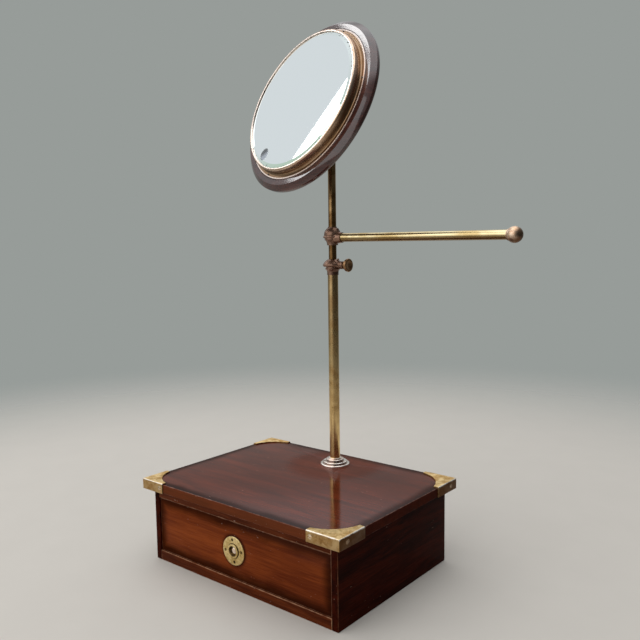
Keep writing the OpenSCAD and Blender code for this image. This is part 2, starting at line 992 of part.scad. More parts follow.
module arm_collar() {
    color(bronze)
        difference() {
            on_column()
                translate([0, 0, arm_z])
                    difference() {
                        union() {
                            rotate_extrude()
                                arm_collar_section();
                            rotate([0, 90, 0])
                                cylinder(h = arm_boss_l, r1 = arm_r + arm_boss_root,
                                         r2 = arm_r + arm_boss_rim);
                        }
                        translate([0, 0, collar_low - eps])
                            cylinder(h = collar_high - collar_low + 2 * eps, r = bore_r);
                        translate([0, 0, collar_low - eps])
                            cylinder(h = stop_ring_t + 2 * stop_ring_play + eps,
                                     r = stop_ring_r + stop_ring_play);
                        translate([arm_start, 0, 0])
                            rotate([0, 90, 0])
                                cylinder(h = arm_boss_l, r = arm_r + fit);
                    }
            guide_place(arm_guide_z)
                cylinder(h = guide_hole_l, r = guide_d / 2 + fit);
        }
}

module arm_set_screw() {
    color(bronze)
        guide_place(arm_guide_z)
            translate([0, 0, guide_lift])
                small_screw();
}

module arm_tube() {
    color(bright_brass)
        on_column()
            translate([arm_start, 0, arm_z])
                rotate([0, 90, 0])
                    difference() {
                        cylinder(h = arm_end - arm_start, r = arm_r);
                        translate([0, 0, -eps])
                            cylinder(h = arm_end - arm_start + 2 * eps, r = arm_r - arm_wall);
                    }
}

// Ball with a thin bead at its neck and a plug in the tube
module arm_ball() {
    plug_r = arm_r - arm_wall - fit;
    color(bronze)
        on_column()
            translate([0, 0, arm_z])
                rotate([0, 90, 0])
                    rotate_extrude()
                        intersection() {
                            union() {
                                translate([0, arm_l])
                                    circle(ball_r);
                                translate([0, arm_end])
                                    square([arm_r, ball_r / 2]);
                                translate([arm_r + arm_bead_lift, arm_end + arm_bead_t / 2])
                                    circle(arm_bead_t / 2);
                                translate([0, arm_end - ball_plug_l])
                                    square([plug_r, ball_plug_l + arm_bead_t / 2]);
                            }
                            half_band(arm_end - ball_plug_l, arm_l + ball_r);
                        }
}

// Mirror head

// Sleeve over the end of the rod, closed by a rounded shoulder, with an upright tongue
module swivel_head() {
    sleeve_r = sleeve_d / 2;
    sleeve_low = sleeve_high - sleeve_l;
    color(bronze)
        on_column()
            translate([0, 0, pivot_z])
                rotate([0, 0, -head_turn])
                    difference() {
                        union() {
                            translate([0, 0, sleeve_low])
                                rotate_extrude() {
                                    tier(sleeve_r, sleeve_l, sleeve_edge);
                                    translate([sleeve_r - sleeve_bead_in, sleeve_bead_r])
                                        circle(sleeve_bead_r);
                                    half_band(0, 2 * sleeve_bead_r, sleeve_r - sleeve_bead_in);
                                }
                            rotate([90, 0, 90])
                                translate([0, 0, -tongue_t / 2])
                                    linear_extrude(tongue_t) {
                                        circle(eye_r);
                                        translate([-tongue_w / 2, sleeve_high - 1])
                                            square([tongue_w, -sleeve_high + 1]);
                                    }
                        }
                        translate([0, 0, sleeve_low - eps])
                            cylinder(h = sleeve_play - rod_below_pivot - sleeve_low + eps, r = bore_r);
                        rotate([0, 90, 0])
                            cylinder(h = tongue_t + 2 * eps, r = bolt_d / 2 + run, center = true);
                    }
}

// Side view of one lug: an eye on the pivot and a foot that spreads on the plate
module lug_outline() {
    hollow_r = lug_foot_r - lug_foot_t;
    circle(eye_r);
    translate([0, -lug_half_h])
        square([pivot_reach, 2 * lug_half_h]);
    difference() {
        translate([pivot_reach - lug_foot_r, -lug_foot_h])
            square([lug_foot_r, 2 * lug_foot_h]);
        for (s = [-1, 1]) {
            translate([pivot_reach - lug_foot_r, s * lug_foot_h])
                circle(hollow_r);
            translate([pivot_reach - lug_foot_r - lug_foot_nose, s * (lug_foot_h + lug_foot_t)])
                square(2 * hollow_r, center = true);
        }
    }
}

// Round plate with two lugs
module pivot_plate() {
    color(brass)
        on_mirror()
            difference() {
                union() {
                    translate([0, 0, board_back])
                        mirror([0, 0, 1])
                            rotate_extrude()
                                tier(back_plate_d / 2, back_plate_t, back_plate_edge);
                    for (s = [-1, 1])
                        translate([s * (lug_in + lug_out) / 2 - lug_t / 2, 0, 0])
                            rotate([0, -90, 0])
                                mirror([0, 0, 1])
                                    linear_extrude(lug_t)
                                        lug_outline();
                }
                rotate([0, 90, 0])
                    cylinder(h = 2 * lug_out + 2 * eps, r = bolt_d / 2 + fit, center = true);
                pivot_screw_places()
                    countersunk_hole(screw_head_d, screw_d, pivot_screw_l);
            }
}

// The screws go in from the back, at 45 degrees to the lugs
module pivot_screw_places() {
    for (k = [0 : pivot_screws_n - 1])
        rotate([0, 0, 45 + k * 360 / pivot_screws_n])
            translate([plate_screw_ring_r, 0, pivot_reach])
                mirror([0, 0, 1])
                    children();
}

module pivot_plate_screws() {
    color(brass)
        on_mirror()
            pivot_screw_places()
                countersunk_screw(screw_head_d, screw_d, pivot_screw_l);
}

// Domed head on one side, plain shank through the lugs and the thumb nut
module pivot_bolt() {
    color(steel)
        on_mirror()
            translate([-lug_out, 0, 0])
                rotate([0, 90, 0])
                    rotate_extrude() {
                        square([bolt_d / 2, 2 * lug_out + nut_t + bolt_tail]);
                        mirror([0, 1])
                            tier(bolt_head_r, bolt_head_t, bolt_head_edge);
                    }
}

module tilt_nut() {
    color(brass)
        on_mirror()
            translate([lug_out, 0, 0])
                rotate([0, 90, 0])
                    difference() {
                        rotate_extrude()
                            tier(nut_r, nut_t, nut_edge);
                        translate([0, 0, -eps])
                            cylinder(h = nut_t + 2 * eps, r = bolt_d / 2 + fit);
                        for (k = [0 : nut_grips - 1])
                            rotate([0, 0, k * 360 / nut_grips])
                                translate([nut_r + nut_grip_r / 2, 0, -eps])
                                    cylinder(h = nut_t + 2 * eps, r = nut_grip_r);
                    }
}

// Mirror

// Turned disc: rounded back edge, plain rim, flat chamfer and flat face
module mirror_board() {
    color(mahogany)
        on_mirror()
            difference() {
                translate([0, 0, board_back])
                    rotate_extrude($fn = fine)
                        difference() {
                            translate([0, frame_t])
                                mirror([0, 1])
                                    tier(frame_r, frame_t, back_round);
                            translate([frame_r - chamfer_w, frame_t])
                                polygon([
                                    [0, 0], [chamfer_w, -chamfer_d], [chamfer_w + eps, -chamfer_d],
                                    [chamfer_w + eps, eps], [0, eps]
                                ]);
                        }
                pivot_screw_places()
                    countersunk_hole(screw_d, screw_d, pivot_screw_l);
                pin_holes();
            }
}

module backing_board() {
    color(pine)
        on_mirror()
            translate([0, 0, board_front])
                cylinder(h = glass_back - board_front, r = backing_r, $fn = fine);
}

// Glass with a bevelled edge; its silvered back lies on the backing board
module mirror_glass() {
    color(silver_glass)
        on_mirror()
            translate([0, 0, glass_back])
                rotate_extrude($fn = fine)
                    polygon([
                        [0, 0], [glass_r, 0], [glass_r, glass_t - bevel_slope * (glass_r - bevel_in_r)],
                        [bevel_in_r, glass_t], [0, glass_t]
                    ]);
}

// Flange, hollow, upright wall, rounded top and lip
module bezel() {
    color(bronze)
        on_mirror()
            difference() {
                translate([0, 0, board_front])
                    rotate_extrude($fn = fine)
                        difference() {
                            union() {
                                tier(bezel_flange_r, bezel_flange_t, bezel_edge);
                                tier(bezel_wall_r, bezel_h, bezel_top_round);
                                difference() {
                                    square([bezel_wall_r + cove_r, bezel_flange_t + cove_r]);
                                    translate([bezel_wall_r + cove_r, bezel_flange_t + cove_r])
                                        circle(cove_r);
                                }
                            }
                            half_band(-eps, bezel_h - bezel_lip_t, bezel_wall_r - bezel_wall_t);
                            half_band(-eps, bezel_h + eps, bezel_open_r);
                        }
                pin_holes();
            }
}

// The pins stand on the bezel's flange
module pin_places() {
    for (k = [0 : pin_count - 1])
        rotate([0, 0, pin_turn + k * 360 / pin_count])
            translate([pin_r, 0, board_front + bezel_flange_t])
                children();
}

// Holes a little wider and deeper than the pins
module pin_holes() {
    pin_places()
        translate([0, 0, -pin_l - fit])
            cylinder(h = pin_l + fit + eps, r = pin_shank_r + fit);
}

module bezel_pins() {
    color(bright_brass)
        on_mirror()
            pin_places() {
                translate([0, 0, -pin_l])
                    cylinder(h = pin_l, r = pin_shank_r);
                rotate_extrude($fn = 32)
                    tier(pin_head_d / 2, pin_head_h, pin_head_edge);
            }
}

// Drawer

// Side view of dovetail k, upwards, from the shoulder at y out to y + reach
function tail_points(k, y, reach) =
    let (z = side_low_z + (k + 0.5) * tail_pitch,
         root = tail_root / 2,
         tip = root + abs(reach) * tail_slope)
    [[y, z - root], [y + reach, z - tip], [y + reach, z + tip], [y, z + root]];

// Gives its child, drawn in side view, the place and thickness of a drawer side
module side_panel(s) {
    translate([s > 0 ? drawer_in_half_w : -front_half_w, 0, 0])
        rotate([90, 0, 90])
            linear_extrude(drawer_side_t)
                children();
}

// The room that the dovetails take in the piece they are let into
module tail_sockets(s, y, reach) {
    back = -sign(reach) * eps;
    for (k = [0 : tail_count - 1])
        side_panel(s)
            polygon(concat(
                [tail_points(k, y, reach)[0] + [back, 0]],
                tail_points(k, y, reach),
                [tail_points(k, y, reach)[3] + [back, 0]]
            ));
}

module drawer_side(s) {
    front_edge = [for (k = [0 : tail_count - 1]) each tail_points(k, front_back_y, -tail_l)];
    rear_edge = [for (k = [0 : tail_count - 1]) each tail_points(k, shoulder_y, drawer_side_t)];
    color(pine)
        difference() {
            side_panel(s)
                polygon(concat(
                    [[front_back_y, side_low_z]], front_edge, [[front_back_y, side_high_z]],
                    [[shoulder_y, side_high_z]],
                    [for (k = [len(rear_edge) - 1 : -1 : 0]) rear_edge[k]],
                    [[shoulder_y, side_low_z]]
                ));
            bottom_groove();
        }
}

// Groove round the inside of the drawer, open at the back
module bottom_groove() {
    box([-drawer_in_half_w - groove_deep, front_back_y - groove_deep, panel_z],
        [drawer_in_half_w + groove_deep, drawer_end_y + eps, panel_z + drawer_bottom_t]);
}

module drawer_front() {
    color(drawer_wood)
        difference() {
            box([-front_half_w, front_face_y, front_low_z],
                [front_half_w, front_back_y, front_high_z]);
            for (s = [-1, 1])
                tail_sockets(s, front_back_y, -tail_l);
            bottom_groove();
            barrel_axis()
                cylinder(h = front_t + 2 * eps, r = barrel_d / 2 + fit);
            plate_screw_places()
                countersunk_hole(plate_screw_head_d, plate_screw_d, screw_l);
        }
}

module drawer_back() {
    color(pine)
        difference() {
            box([-front_half_w, shoulder_y, back_low_z], [front_half_w, drawer_end_y, side_high_z]);
            for (s = [-1, 1])
                tail_sockets(s, shoulder_y, drawer_side_t);
        }
}

module drawer_bottom() {
    reach = drawer_in_half_w + panel_lap;
    color(pine)
        box([-reach, front_back_y - panel_lap, panel_z],
            [reach, drawer_end_y, panel_z + drawer_bottom_t]);
}

// Push knob

// Frame with +Z running back into the drawer, from just before the front's face
module barrel_axis() {
    translate([knob_x, front_face_y - eps, knob_z])
        rotate([-90, 0, 0])
            children();
}

module plate_screw_places() {
    for (k = [0 : plate_screws_n - 1])
        translate([knob_x, front_face_y - plate_t, knob_z])
            rotate([90, 0, 0])
                rotate([0, 0, plate_screw_turn + k * 360 / plate_screws_n])
                    translate([plate_screw_pcd / 2, 0, 0])
                        children();
}

module knob_plate() {
    color(bright_brass)
        difference() {
            translate([knob_x, front_face_y, knob_z])
                rotate([90, 0, 0])
                    rotate_extrude()
                        difference() {
                            tier(plate_d / 2, plate_t, plate_edge);
                            half_band(-eps, plate_t + eps, barrel_d / 2 + fit);
                        }
            plate_screw_places()
                countersunk_hole(plate_screw_head_d, plate_screw_d, screw_l);
        }
}

module plate_screws() {
    color(mahogany_dark)
        plate_screw_places()
            countersunk_screw(plate_screw_head_d, plate_screw_d, screw_l);
}

// Raised ring, threaded barrel, front lip and closed spring chamber
module knob_barrel() {
    whole = barrel_end_y - ring_face_y;
    color(bright_brass)
        translate([knob_x, ring_face_y, knob_z])
            rotate([-90, 0, 0])
                rotate_extrude()
                    difference() {
                        union() {
                            square([barrel_d / 2, whole]);
                            translate([0, ring_h])
                                mirror([0, 1])
                                    tier(ring_d / 2, ring_h, ring_edge);
                        }
                        half_band(-eps, whole - barrel_wall, knob_d / 2 + run);
                        half_band(barrel_lip_y - ring_face_y, whole - barrel_wall,
                                  barrel_d / 2 - barrel_wall);
                    }
}

module barrel_nut() {
    color(brass)
        translate([knob_x, front_back_y, knob_z])
            rotate([-90, 0, 0])
                hex_nut(barrel_nut_af, barrel_nut_t, barrel_d / 2 + fit);
}

// Domed plunger with a flange that stops it behind the barrel's lip
module push_knob() {
    r = knob_d / 2;
    dome_r = 1.6 * r;
    color(bright_brass)
        translate([knob_x, knob_tip_y, knob_z])
            rotate([-90, 0, 0])
                rotate_extrude() {
                    intersection() {
                        translate([0, dome_r])
                            circle(dome_r);
                        half_band(0, knob_len, r);
                    }
                    half_band(dome_r, knob_len, r);
                    half_band(knob_len - knob_flange_t, knob_len, knob_flange_d / 2);
                }
}

// Spring in the chamber behind the knob: one wire swept along a helix, with squared ends
function spring_point(k, j) =
    let (a = 360 * k / spring_steps, b = 360 * j / spring_sides,
         r = spring_mean_r + spring_wire / 2 * cos(b))
    [r * cos(a), r * sin(a),
     spring_wire / 2 + spring_pitch * k / spring_steps + spring_wire / 2 * sin(b)];

module knob_spring() {
    points = [for (k = [0 : spring_rings - 1], j = [0 : spring_sides - 1]) spring_point(k, j)];
    last = (spring_rings - 1) * spring_sides;
    walls = [
        for (k = [0 : spring_rings - 2], j = [0 : spring_sides - 1], half = [0, 1])
            let (a = k * spring_sides + j, b = k * spring_sides + (j + 1) % spring_sides)
            half == 0 ? [a, b, a + spring_sides] : [b, b + spring_sides, a + spring_sides]
    ];
    first_end = [for (j = [1 : spring_sides - 2]) [0, j + 1, j]];
    last_end = [for (j = [1 : spring_sides - 2]) [last, last + j, last + j + 1]];
    color(steel)
        translate([knob_x, knob_end_y + seat_gap, knob_z])
            rotate([-90, 0, 0])
                polyhedron(points, concat(walls, first_end, last_end));
}

side_board(-1);  // side_left
side_board(1);  // side_right
carcass_back();
bottom_board();
bottom_rail();
top_rail();
runner(-1);  // runner_left
runner(1);  // runner_right
kicker(-1);  // kicker_left
kicker(1);  // kicker_right
drawer_stops();
top_board();
top_screws();
corner_cap(-1, -1);  // cap_front_left
corner_cap(1, -1);  // cap_front_right
corner_cap(-1, 1);  // cap_rear_left
corner_cap(1, 1);  // cap_rear_right
cap_screws();
column_flange();
flange_screws();
outer_tube();
column_stud();
stud_washer();
stud_nut();
clamp_collar();
guide_screw();
thumbscrew();
inner_rod();
arm_stop_ring();
arm_collar();
arm_set_screw();
arm_tube();
arm_ball();
swivel_head();
pivot_plate();
pivot_plate_screws();
pivot_bolt();
tilt_nut();
mirror_board();
backing_board();
mirror_glass();
bezel();
bezel_pins();
drawer_front();
drawer_side(-1);  // drawer_side_left
drawer_side(1);  // drawer_side_right
drawer_back();
drawer_bottom();
knob_plate();
plate_screws();
knob_barrel();
barrel_nut();
knob_spring();
push_knob();
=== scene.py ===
"""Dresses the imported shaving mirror: a mahogany case with brass corners and one drawer, a
telescopic brass column with a side arm, and a round bevelled glass in a turned frame. Metres; X
runs left to right along the front, Y into the depth, Z up, with the origin at the centre of the
underside."""

import json
import math

import bmesh
import bpy
from bpy.props import FloatProperty, FloatVectorProperty, PointerProperty
from mathutils import Matrix, Vector

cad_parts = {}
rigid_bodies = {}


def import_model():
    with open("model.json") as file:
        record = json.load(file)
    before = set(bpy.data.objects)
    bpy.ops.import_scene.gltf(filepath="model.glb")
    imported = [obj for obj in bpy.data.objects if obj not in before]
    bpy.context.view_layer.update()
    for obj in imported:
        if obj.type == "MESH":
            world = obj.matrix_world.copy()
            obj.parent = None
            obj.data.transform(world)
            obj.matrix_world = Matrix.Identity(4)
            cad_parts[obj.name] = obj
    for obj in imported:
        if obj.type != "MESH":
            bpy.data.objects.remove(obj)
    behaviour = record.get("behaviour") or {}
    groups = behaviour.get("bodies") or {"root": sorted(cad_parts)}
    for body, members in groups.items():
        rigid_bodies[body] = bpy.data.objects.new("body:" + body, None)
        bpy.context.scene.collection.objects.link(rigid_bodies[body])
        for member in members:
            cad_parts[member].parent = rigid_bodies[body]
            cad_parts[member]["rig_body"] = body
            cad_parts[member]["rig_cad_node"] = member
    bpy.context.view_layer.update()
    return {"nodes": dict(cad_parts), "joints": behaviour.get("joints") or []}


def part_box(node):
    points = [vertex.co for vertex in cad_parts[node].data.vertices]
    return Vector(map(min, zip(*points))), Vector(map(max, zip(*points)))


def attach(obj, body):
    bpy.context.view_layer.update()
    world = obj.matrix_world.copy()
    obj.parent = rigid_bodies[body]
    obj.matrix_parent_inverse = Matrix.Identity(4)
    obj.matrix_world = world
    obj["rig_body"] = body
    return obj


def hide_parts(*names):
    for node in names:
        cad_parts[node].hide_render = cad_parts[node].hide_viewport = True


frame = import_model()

bl_info = {
    "name": "Column Shaving Mirror",
    "version": (1, 0, 0),
    "blender": (4, 5, 0),
    "location": "View3D > Sidebar > Shaving Mirror",
    "description": "Builds the finished pieces and the stage of a shaving mirror on a brass column",
    "category": "Object",
}

MM = 0.001
WELD = 0.005 * MM    # points of a CAD mesh that lie closer than this are one
ARRIS = 40           # degrees that a surface turns through at a sharp edge


def srgb(code):
    """A hex colour, such as "#6b3a26", as the linear values that Blender's colours hold."""
    steps = [int(code[k : k + 2], 16) / 255 for k in (1, 3, 5)]
    return [c / 12.92 if c <= 0.04045 else ((c + 0.055) / 1.055) ** 2.4 for c in steps]


def colour(name, description, code):
    """A colour setting whose default is a hex colour."""
    return FloatVectorProperty(
        name=name, description=description, subtype="COLOR", min=0, max=1, default=srgb(code)
    )


def length(name, description, millimetres):
    """A size setting whose default is given in millimetres."""
    return FloatProperty(
        name=name, description=description, unit="LENGTH", min=0, default=millimetres * MM
    )


def power(name, description, watts):
    """A setting for the power of a lamp."""
    return FloatProperty(name=name, description=description, unit="POWER", min=0, default=watts)


# The mirror's own frame: Z along its normal, X and Y across the glass, from the pivot
TILT = next(j for j in frame["joints"] if j["name"] == "mirror_tilt")
HEAD_TILT = math.radians(22.1)
ACROSS = -Vector(TILT["axis"]).normalized()
BEHIND = Vector((0, 0, 1)).cross(ACROSS)
FACING = math.sin(HEAD_TILT) * Vector((0, 0, 1)) - math.cos(HEAD_TILT) * BEHIND
UPWARDS = FACING.cross(ACROSS)
MIRROR_PLACE = (
    Matrix.Translation(TILT["pos_m"]) @ Matrix((ACROSS, UPWARDS, FACING)).transposed().to_4x4()
)


class CaseSettings(bpy.types.PropertyGroup):
    """Sizes and colours of the case, its drawer and its corner caps"""

    board_arris: length("Board arris", "Worn radius along the edges of the case boards", 0.7)
    top_arris: length("Top arris", "Worn radius along the holes and corners of the top board", 0.3)
    drawer_arris: length("Drawer arris", "Worn radius along the edges of the drawer's boards", 0.6)
    cap_arris: length("Cap arris", "Worn radius along the edges of the corner caps", 0.25)
    top_dark: colour("Top, dark", "Dark grain of the polished top", "#451508")
    top_light: colour("Top, light", "Light grain of the polished top", "#6f2a14")
    front_dark: colour("Drawer, dark", "Dark grain of the drawer front", "#5c2510")
    front_light: colour("Drawer, light", "Light grain of the drawer front", "#8c431c")
    # The case boards' grain colours are dark partly as the wood's own tone and partly as painted
    # shade for the shaded side
    side_dark: colour("Case, dark", "Dark grain of the case boards", "#170200")
    side_light: colour("Case, light", "Light grain of the case boards", "#471303")
    rail_dark: colour("Rails, dark", "Dark grain of the rails", "#371206")
    rail_light: colour("Rails, light", "Light grain of the rails", "#743719")
    inner_dark: colour("Inside, dark", "Dark grain of the pale wood inside", "#8a6238")
    inner_light: colour("Inside, light", "Light grain of the pale wood inside", "#c49c66")
    cap_bright: colour("Cap, bright", "Rubbed brass of the corner caps", "#f8dca4")
    cap_dull: colour("Cap, dull", "Dull brass of the corner caps", "#c89f5f")
    screw_bright: colour("Cap screw, bright", "Polished brass of the cap screws", "#f3dfc6")
    screw_dull: colour("Cap screw, dull", "Dull brass of the cap screws", "#b79a70")


class ColumnSettings(bpy.types.PropertyGroup):
    """Sizes and colours of the column, its collars, the arm and the drawer's knob"""

    tube_edge: length("Tube edge", "Chamfer at the ends of the tubes", 0.4)
    arm_wall: length("Arm wall", "Wall thickness of the side arm", 1.2)
    tube_bright: colour("Tube, bright", "Lacquered brass of the column", "#eccb8f")
    tube_dull: colour("Tube, dull", "Dulled brass of the column", "#b8925a")
    rod_bright: colour("Rod, bright", "Rubbed brass of the sliding rod", "#a8865c")
    rod_dull: colour("Rod, dull", "Brown tarnish of the sliding rod", "#6b4c2a")
    arm_bright: colour("Arm, bright", "Pale brass of the side arm", "#f3e0b0")
    arm_dull: colour("Arm, dull", "Dulled brass of the side arm", "#d3b67e")
    ball_bright: colour("Ball, bright", "Rubbed pink brass of the arm's ball end", "#f8e0c8")
    ball_dull: colour("Ball, dull", "Dull pink brass of the arm's ball end", "#e0b591")
    collar_bright: colour("Collar, bright", "Rubbed bronze of the collars", "#9c7b68")
    collar_dull: colour("Collar, dull", "Dark bronze of the collars", "#664c3f")
    thumb_bright: colour("Thumbscrew, bright", "Handled brass of the thumbscrew", "#a8815c")
    thumb_dull: colour("Thumbscrew, dull", "Tarnished brass of the thumbscrew", "#6f4e38")
    flange_bright: colour("Flange, bright", "Pink brass of the foot", "#fff6ef")
    flange_dull: colour("Flange, dull", "Dull brass of the foot", "#f6e0d2")
    plate_bright: colour("Plate, bright", "Yellow brass round the knob", "#f2da9e")
    plate_dull: colour("Plate, dull", "Dull brass round the knob", "#c9aa68")
    knob_bright: colour("Knob, bright", "Rubbed brass of the push knob", "#fff0e0")
    knob_dull: colour("Knob, dull", "Dull brass of the push knob", "#e3c7ab")


class MirrorSettings(bpy.types.PropertyGroup):
    """Sizes and colours of the mirror head"""

    frame_radius: length("Frame radius", "Outer radius of the turned frame", 105.8)
    frame_thickness: length("Frame thickness", "Thickness of the turned frame", 11)
    chamfer_width: length("Chamfer width", "Width of the chamfer on the turned frame", 5.9)
    chamfer_depth: length("Chamfer depth", "Depth of the chamfer on the turned frame", 4.6)
    back_round: length("Back round", "Radius of the frame's rear edge", 3.8)
    bevel_width: length("Bevel width", "Width of the bevel that shows inside the bezel", 4.9)
    bevel_depth: length("Bevel depth", "Depth of the bevel at the bezel's opening", 1.0)
    glass: colour("Glass", "Colour of the silvering seen through the glass", "#eef3f3")
    frame_dark: colour("Frame, dark", "Dark grain of the turned frame", "#2a1412")
    frame_light: colour("Frame, light", "Light grain of the turned frame", "#623830")
    bezel_bright: colour("Bezel, bright", "Rubbed brass of the bezel", "#e2c6b0")
    bezel_dull: colour("Bezel, dull", "Brown brass of the bezel", "#bb9c80")


class StageSettings(bpy.types.PropertyGroup):
    """Camera, lamps and backdrop"""

    camera_place: FloatVectorProperty(
        name="Camera place", description="Where the camera stands", subtype="TRANSLATION",
        unit="LENGTH", default=(0.5440, -0.6176, 0.3738),
    )
    camera_turn: FloatVectorProperty(
        name="Camera turn", description="Turn to the left, pitch down and roll of the camera",
        subtype="EULER", default=[math.radians(a) for a in (39.42, 6.18, -0.776)],
    )
    camera_lens: FloatProperty(
        name="Lens", description="Focal length on a 36 mm sensor", unit="CAMERA", default=40.66
    )
    key_power: power("Key power", "Power of the large softbox ahead", 15)
    left_power: power("Left power", "Power of the lamp that the left bevel shows", 1.1)
    sky_power: power("Sky power", "Power of the lamp that the glass shows", 1.3)
    rim_power: power("Rim power", "Power of the lamp that the turned frame shows", 0.24)
    overhead: FloatProperty(
        name="Overhead", description="Strength of the sky straight above", min=0, default=1.9
    )
    floor: colour("Floor", "Colour of the floor", "#cbc4bb")
    behind: colour("Behind", "Backdrop behind the object", "#979c99")
    right: colour("Right", "Backdrop on the shaded right", "#4b4e4d")
    sky: colour("Sky", "Sky over the backdrop", "#dfe3e6")
    shaded_sky: colour("Shaded sky", "Sky over the shaded right", "#6f7375")
    above: colour("Above", "Sky overhead", "#f4f7fa")


# Tools shared by the pieces


def only(piece):
    """Selects one object, and nothing else, as the active one."""
    bpy.ops.object.select_all(action="DESELECT")
    piece.select_set(True)
    bpy.context.view_layer.objects.active = piece


def add(primitive, name, **settings):
    """Adds a primitive with nothing else selected, and names it."""
    bpy.ops.object.select_all(action="DESELECT")
    primitive(**settings)
    piece = bpy.context.object
    piece.name = piece.data.name = name
    return piece


def smooth(piece, degrees=30):
    """Smooths the faces that meet at less than the angle."""
    only(piece)
    bpy.ops.object.shade_smooth_by_angle(angle=math.radians(degrees))


def arc(centre, radius, start, end, steps=8):
    """Points of an arc in a lathe profile, from one angle to another, in degrees."""
    angles = [math.radians(start + (end - start) * k / steps) for k in range(steps + 1)]
    return [(centre[0] + radius * math.cos(a), centre[1] + radius * math.sin(a)) for a in angles]


def turned(name, profile, steps=128, sharp=30):
    """A lathe piece about Z. The profile's (radius, height) pairs are drawn by extruding one point,
    then spun right round; a profile that ends where it starts makes a ring."""
    piece = add(bpy.ops.mesh.primitive_plane_add, name, size=MM)
    bpy.ops.object.mode_set(mode="EDIT")
    bpy.ops.mesh.select_all(action="SELECT")
    bpy.ops.mesh.merge(type="CENTER")
    here = Vector()
    for k, (radius, height) in enumerate(profile):
        there = Vector((radius, 0, height))
        if k == 0:
            bpy.ops.transform.translate(value=there)
        else:
            bpy.ops.mesh.extrude_region_move(TRANSFORM_OT_translate={"value": there - here})
        here = there
    bpy.ops.mesh.select_all(action="SELECT")
    bpy.ops.mesh.spin(steps=steps, angle=math.tau, center=(0, 0, 0), axis=(0, 0, 1))
    # The points on the axis, and the first and last rows of a full turn, become one
    bpy.ops.mesh.select_all(action="SELECT")
    bpy.ops.mesh.remove_doubles(threshold=0.002 * MM)
    bpy.ops.mesh.normals_make_consistent(inside=False)
    bpy.ops.object.mode_set(mode="OBJECT")
    smooth(piece, sharp)
    return piece


def place(piece, matrix):
    """Moves a piece into its place and leaves its object at the origin, unturned."""
    only(piece)
    piece.matrix_world = matrix
    bpy.ops.object.transform_apply(location=True, rotation=True, scale=True)


def worn_copy(node, name, radius, segments=3):
    """A copy of a node's solid with every sharp edge rounded, as handling and polish leave it."""
    piece = frame["nodes"][node].copy()
    piece.data = piece.data.copy()
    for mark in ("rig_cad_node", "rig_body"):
        del piece[mark]
    piece.parent = None
    piece.name = piece.data.name = name
    bpy.context.scene.collection.objects.link(piece)
    only(piece)
    bpy.ops.object.mode_set(mode="EDIT")
    bpy.ops.mesh.select_all(action="SELECT")
    if piece.data.has_custom_normals:
        bpy.ops.mesh.customdata_custom_splitnormals_clear()
    bpy.ops.mesh.remove_doubles(threshold=WELD)
    bpy.ops.mesh.dissolve_limited(angle_limit=math.radians(0.5))
    shape = bmesh.from_edit_mesh(piece.data)
    for edge in shape.edges:
        turn = edge.calc_face_angle(0)
        edge.select = turn > math.radians(ARRIS) and edge.calc_length() > 2 * radius
    bmesh.update_edit_mesh(piece.data)
    bpy.ops.mesh.bevel(
        offset=radius, offset_type="OFFSET", segments=segments, affect="EDGES", clamp_overlap=True
    )
    bpy.ops.object.mode_set(mode="OBJECT")
    smooth(piece, ARRIS)
    return piece


def dress(piece, material, body, slot, *nodes):
    """Gives a finished piece its material and body, and hides the nodes that it stands for."""
    piece.data.materials.clear()
    piece.data.materials.append(material)
    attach(piece, body)
    if nodes:
        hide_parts(*nodes)


def finish_nodes(material, *nodes):
    """Gives CAD nodes that keep their own shape a material."""
    for node in nodes:
        mesh = frame["nodes"][node].data
        mesh.materials.clear()
        mesh.materials.append(material)


def soften_nodes(width, *nodes):
    """Rounds the sharp edges of wooden nodes with modifiers, which leave their meshes alone."""
    for node in nodes:
        weld = frame["nodes"][node].modifiers.new("Weld", "WELD")
        weld.merge_threshold = WELD
        bevel = frame["nodes"][node].modifiers.new("Soft edges", "BEVEL")
        bevel.width = width
        bevel.segments = 2
        bevel.limit_method = "ANGLE"
        bevel.angle_limit = math.radians(ARRIS)


def middle_of(node):
    """The middle of a node's box."""
    low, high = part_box(node)
    return (low + high) / 2


# Materials

# Settings that every shader node of a kind has here
USUAL = {"MapRange": {"interpolation_type": "SMOOTHSTEP"}, "Mix": {"data_type": "RGBA"}}
LEVEL = (1, 1, 0)  # times a vector, leaves out its height


def fill(node, inputs):
    """Fills a shader node's sockets, in order or by name, with values and other nodes' outputs."""
    in_use = [socket for socket in node.inputs if socket.enabled]
    for key, value in inputs.items() if isinstance(inputs, dict) else enumerate(inputs):
        socket = node.inputs[key] if isinstance(key, str) else in_use[key]
        if isinstance(value, bpy.types.NodeSocket):
            node.id_data.links.new(value, socket)
        elif socket.type == "RGBA":
            socket.default_value = (*value[:3], 1)
        else:
            socket.default_value = value


def add_node(tree, kind, inputs=(), output=None, **settings):
    """Adds a shader node with its settings and links, and returns one of its outputs: the one that
    is asked for, or the first that its settings leave in use."""
    made = tree.nodes.new("ShaderNode" + kind)
    for key, value in {**USUAL.get(kind, {}), **settings}.items():
        setattr(made, key, value)
    fill(made, inputs)
    if output is not None:
        return made.outputs[output]
    return next((socket for socket in made.outputs if socket.enabled), None)


def new_material(name):
    """An empty node material, with its tree, its shader and the object's own coordinates."""
    material = bpy.data.materials.new(name)
    material.use_nodes = True
    tree = material.node_tree
    tree.nodes.clear()
    surface = add_node(tree, "BsdfPrincipled")
    add_node(tree, "OutputMaterial", (surface,))
    return material, tree, surface.node, add_node(tree, "TexCoord", output="Object")


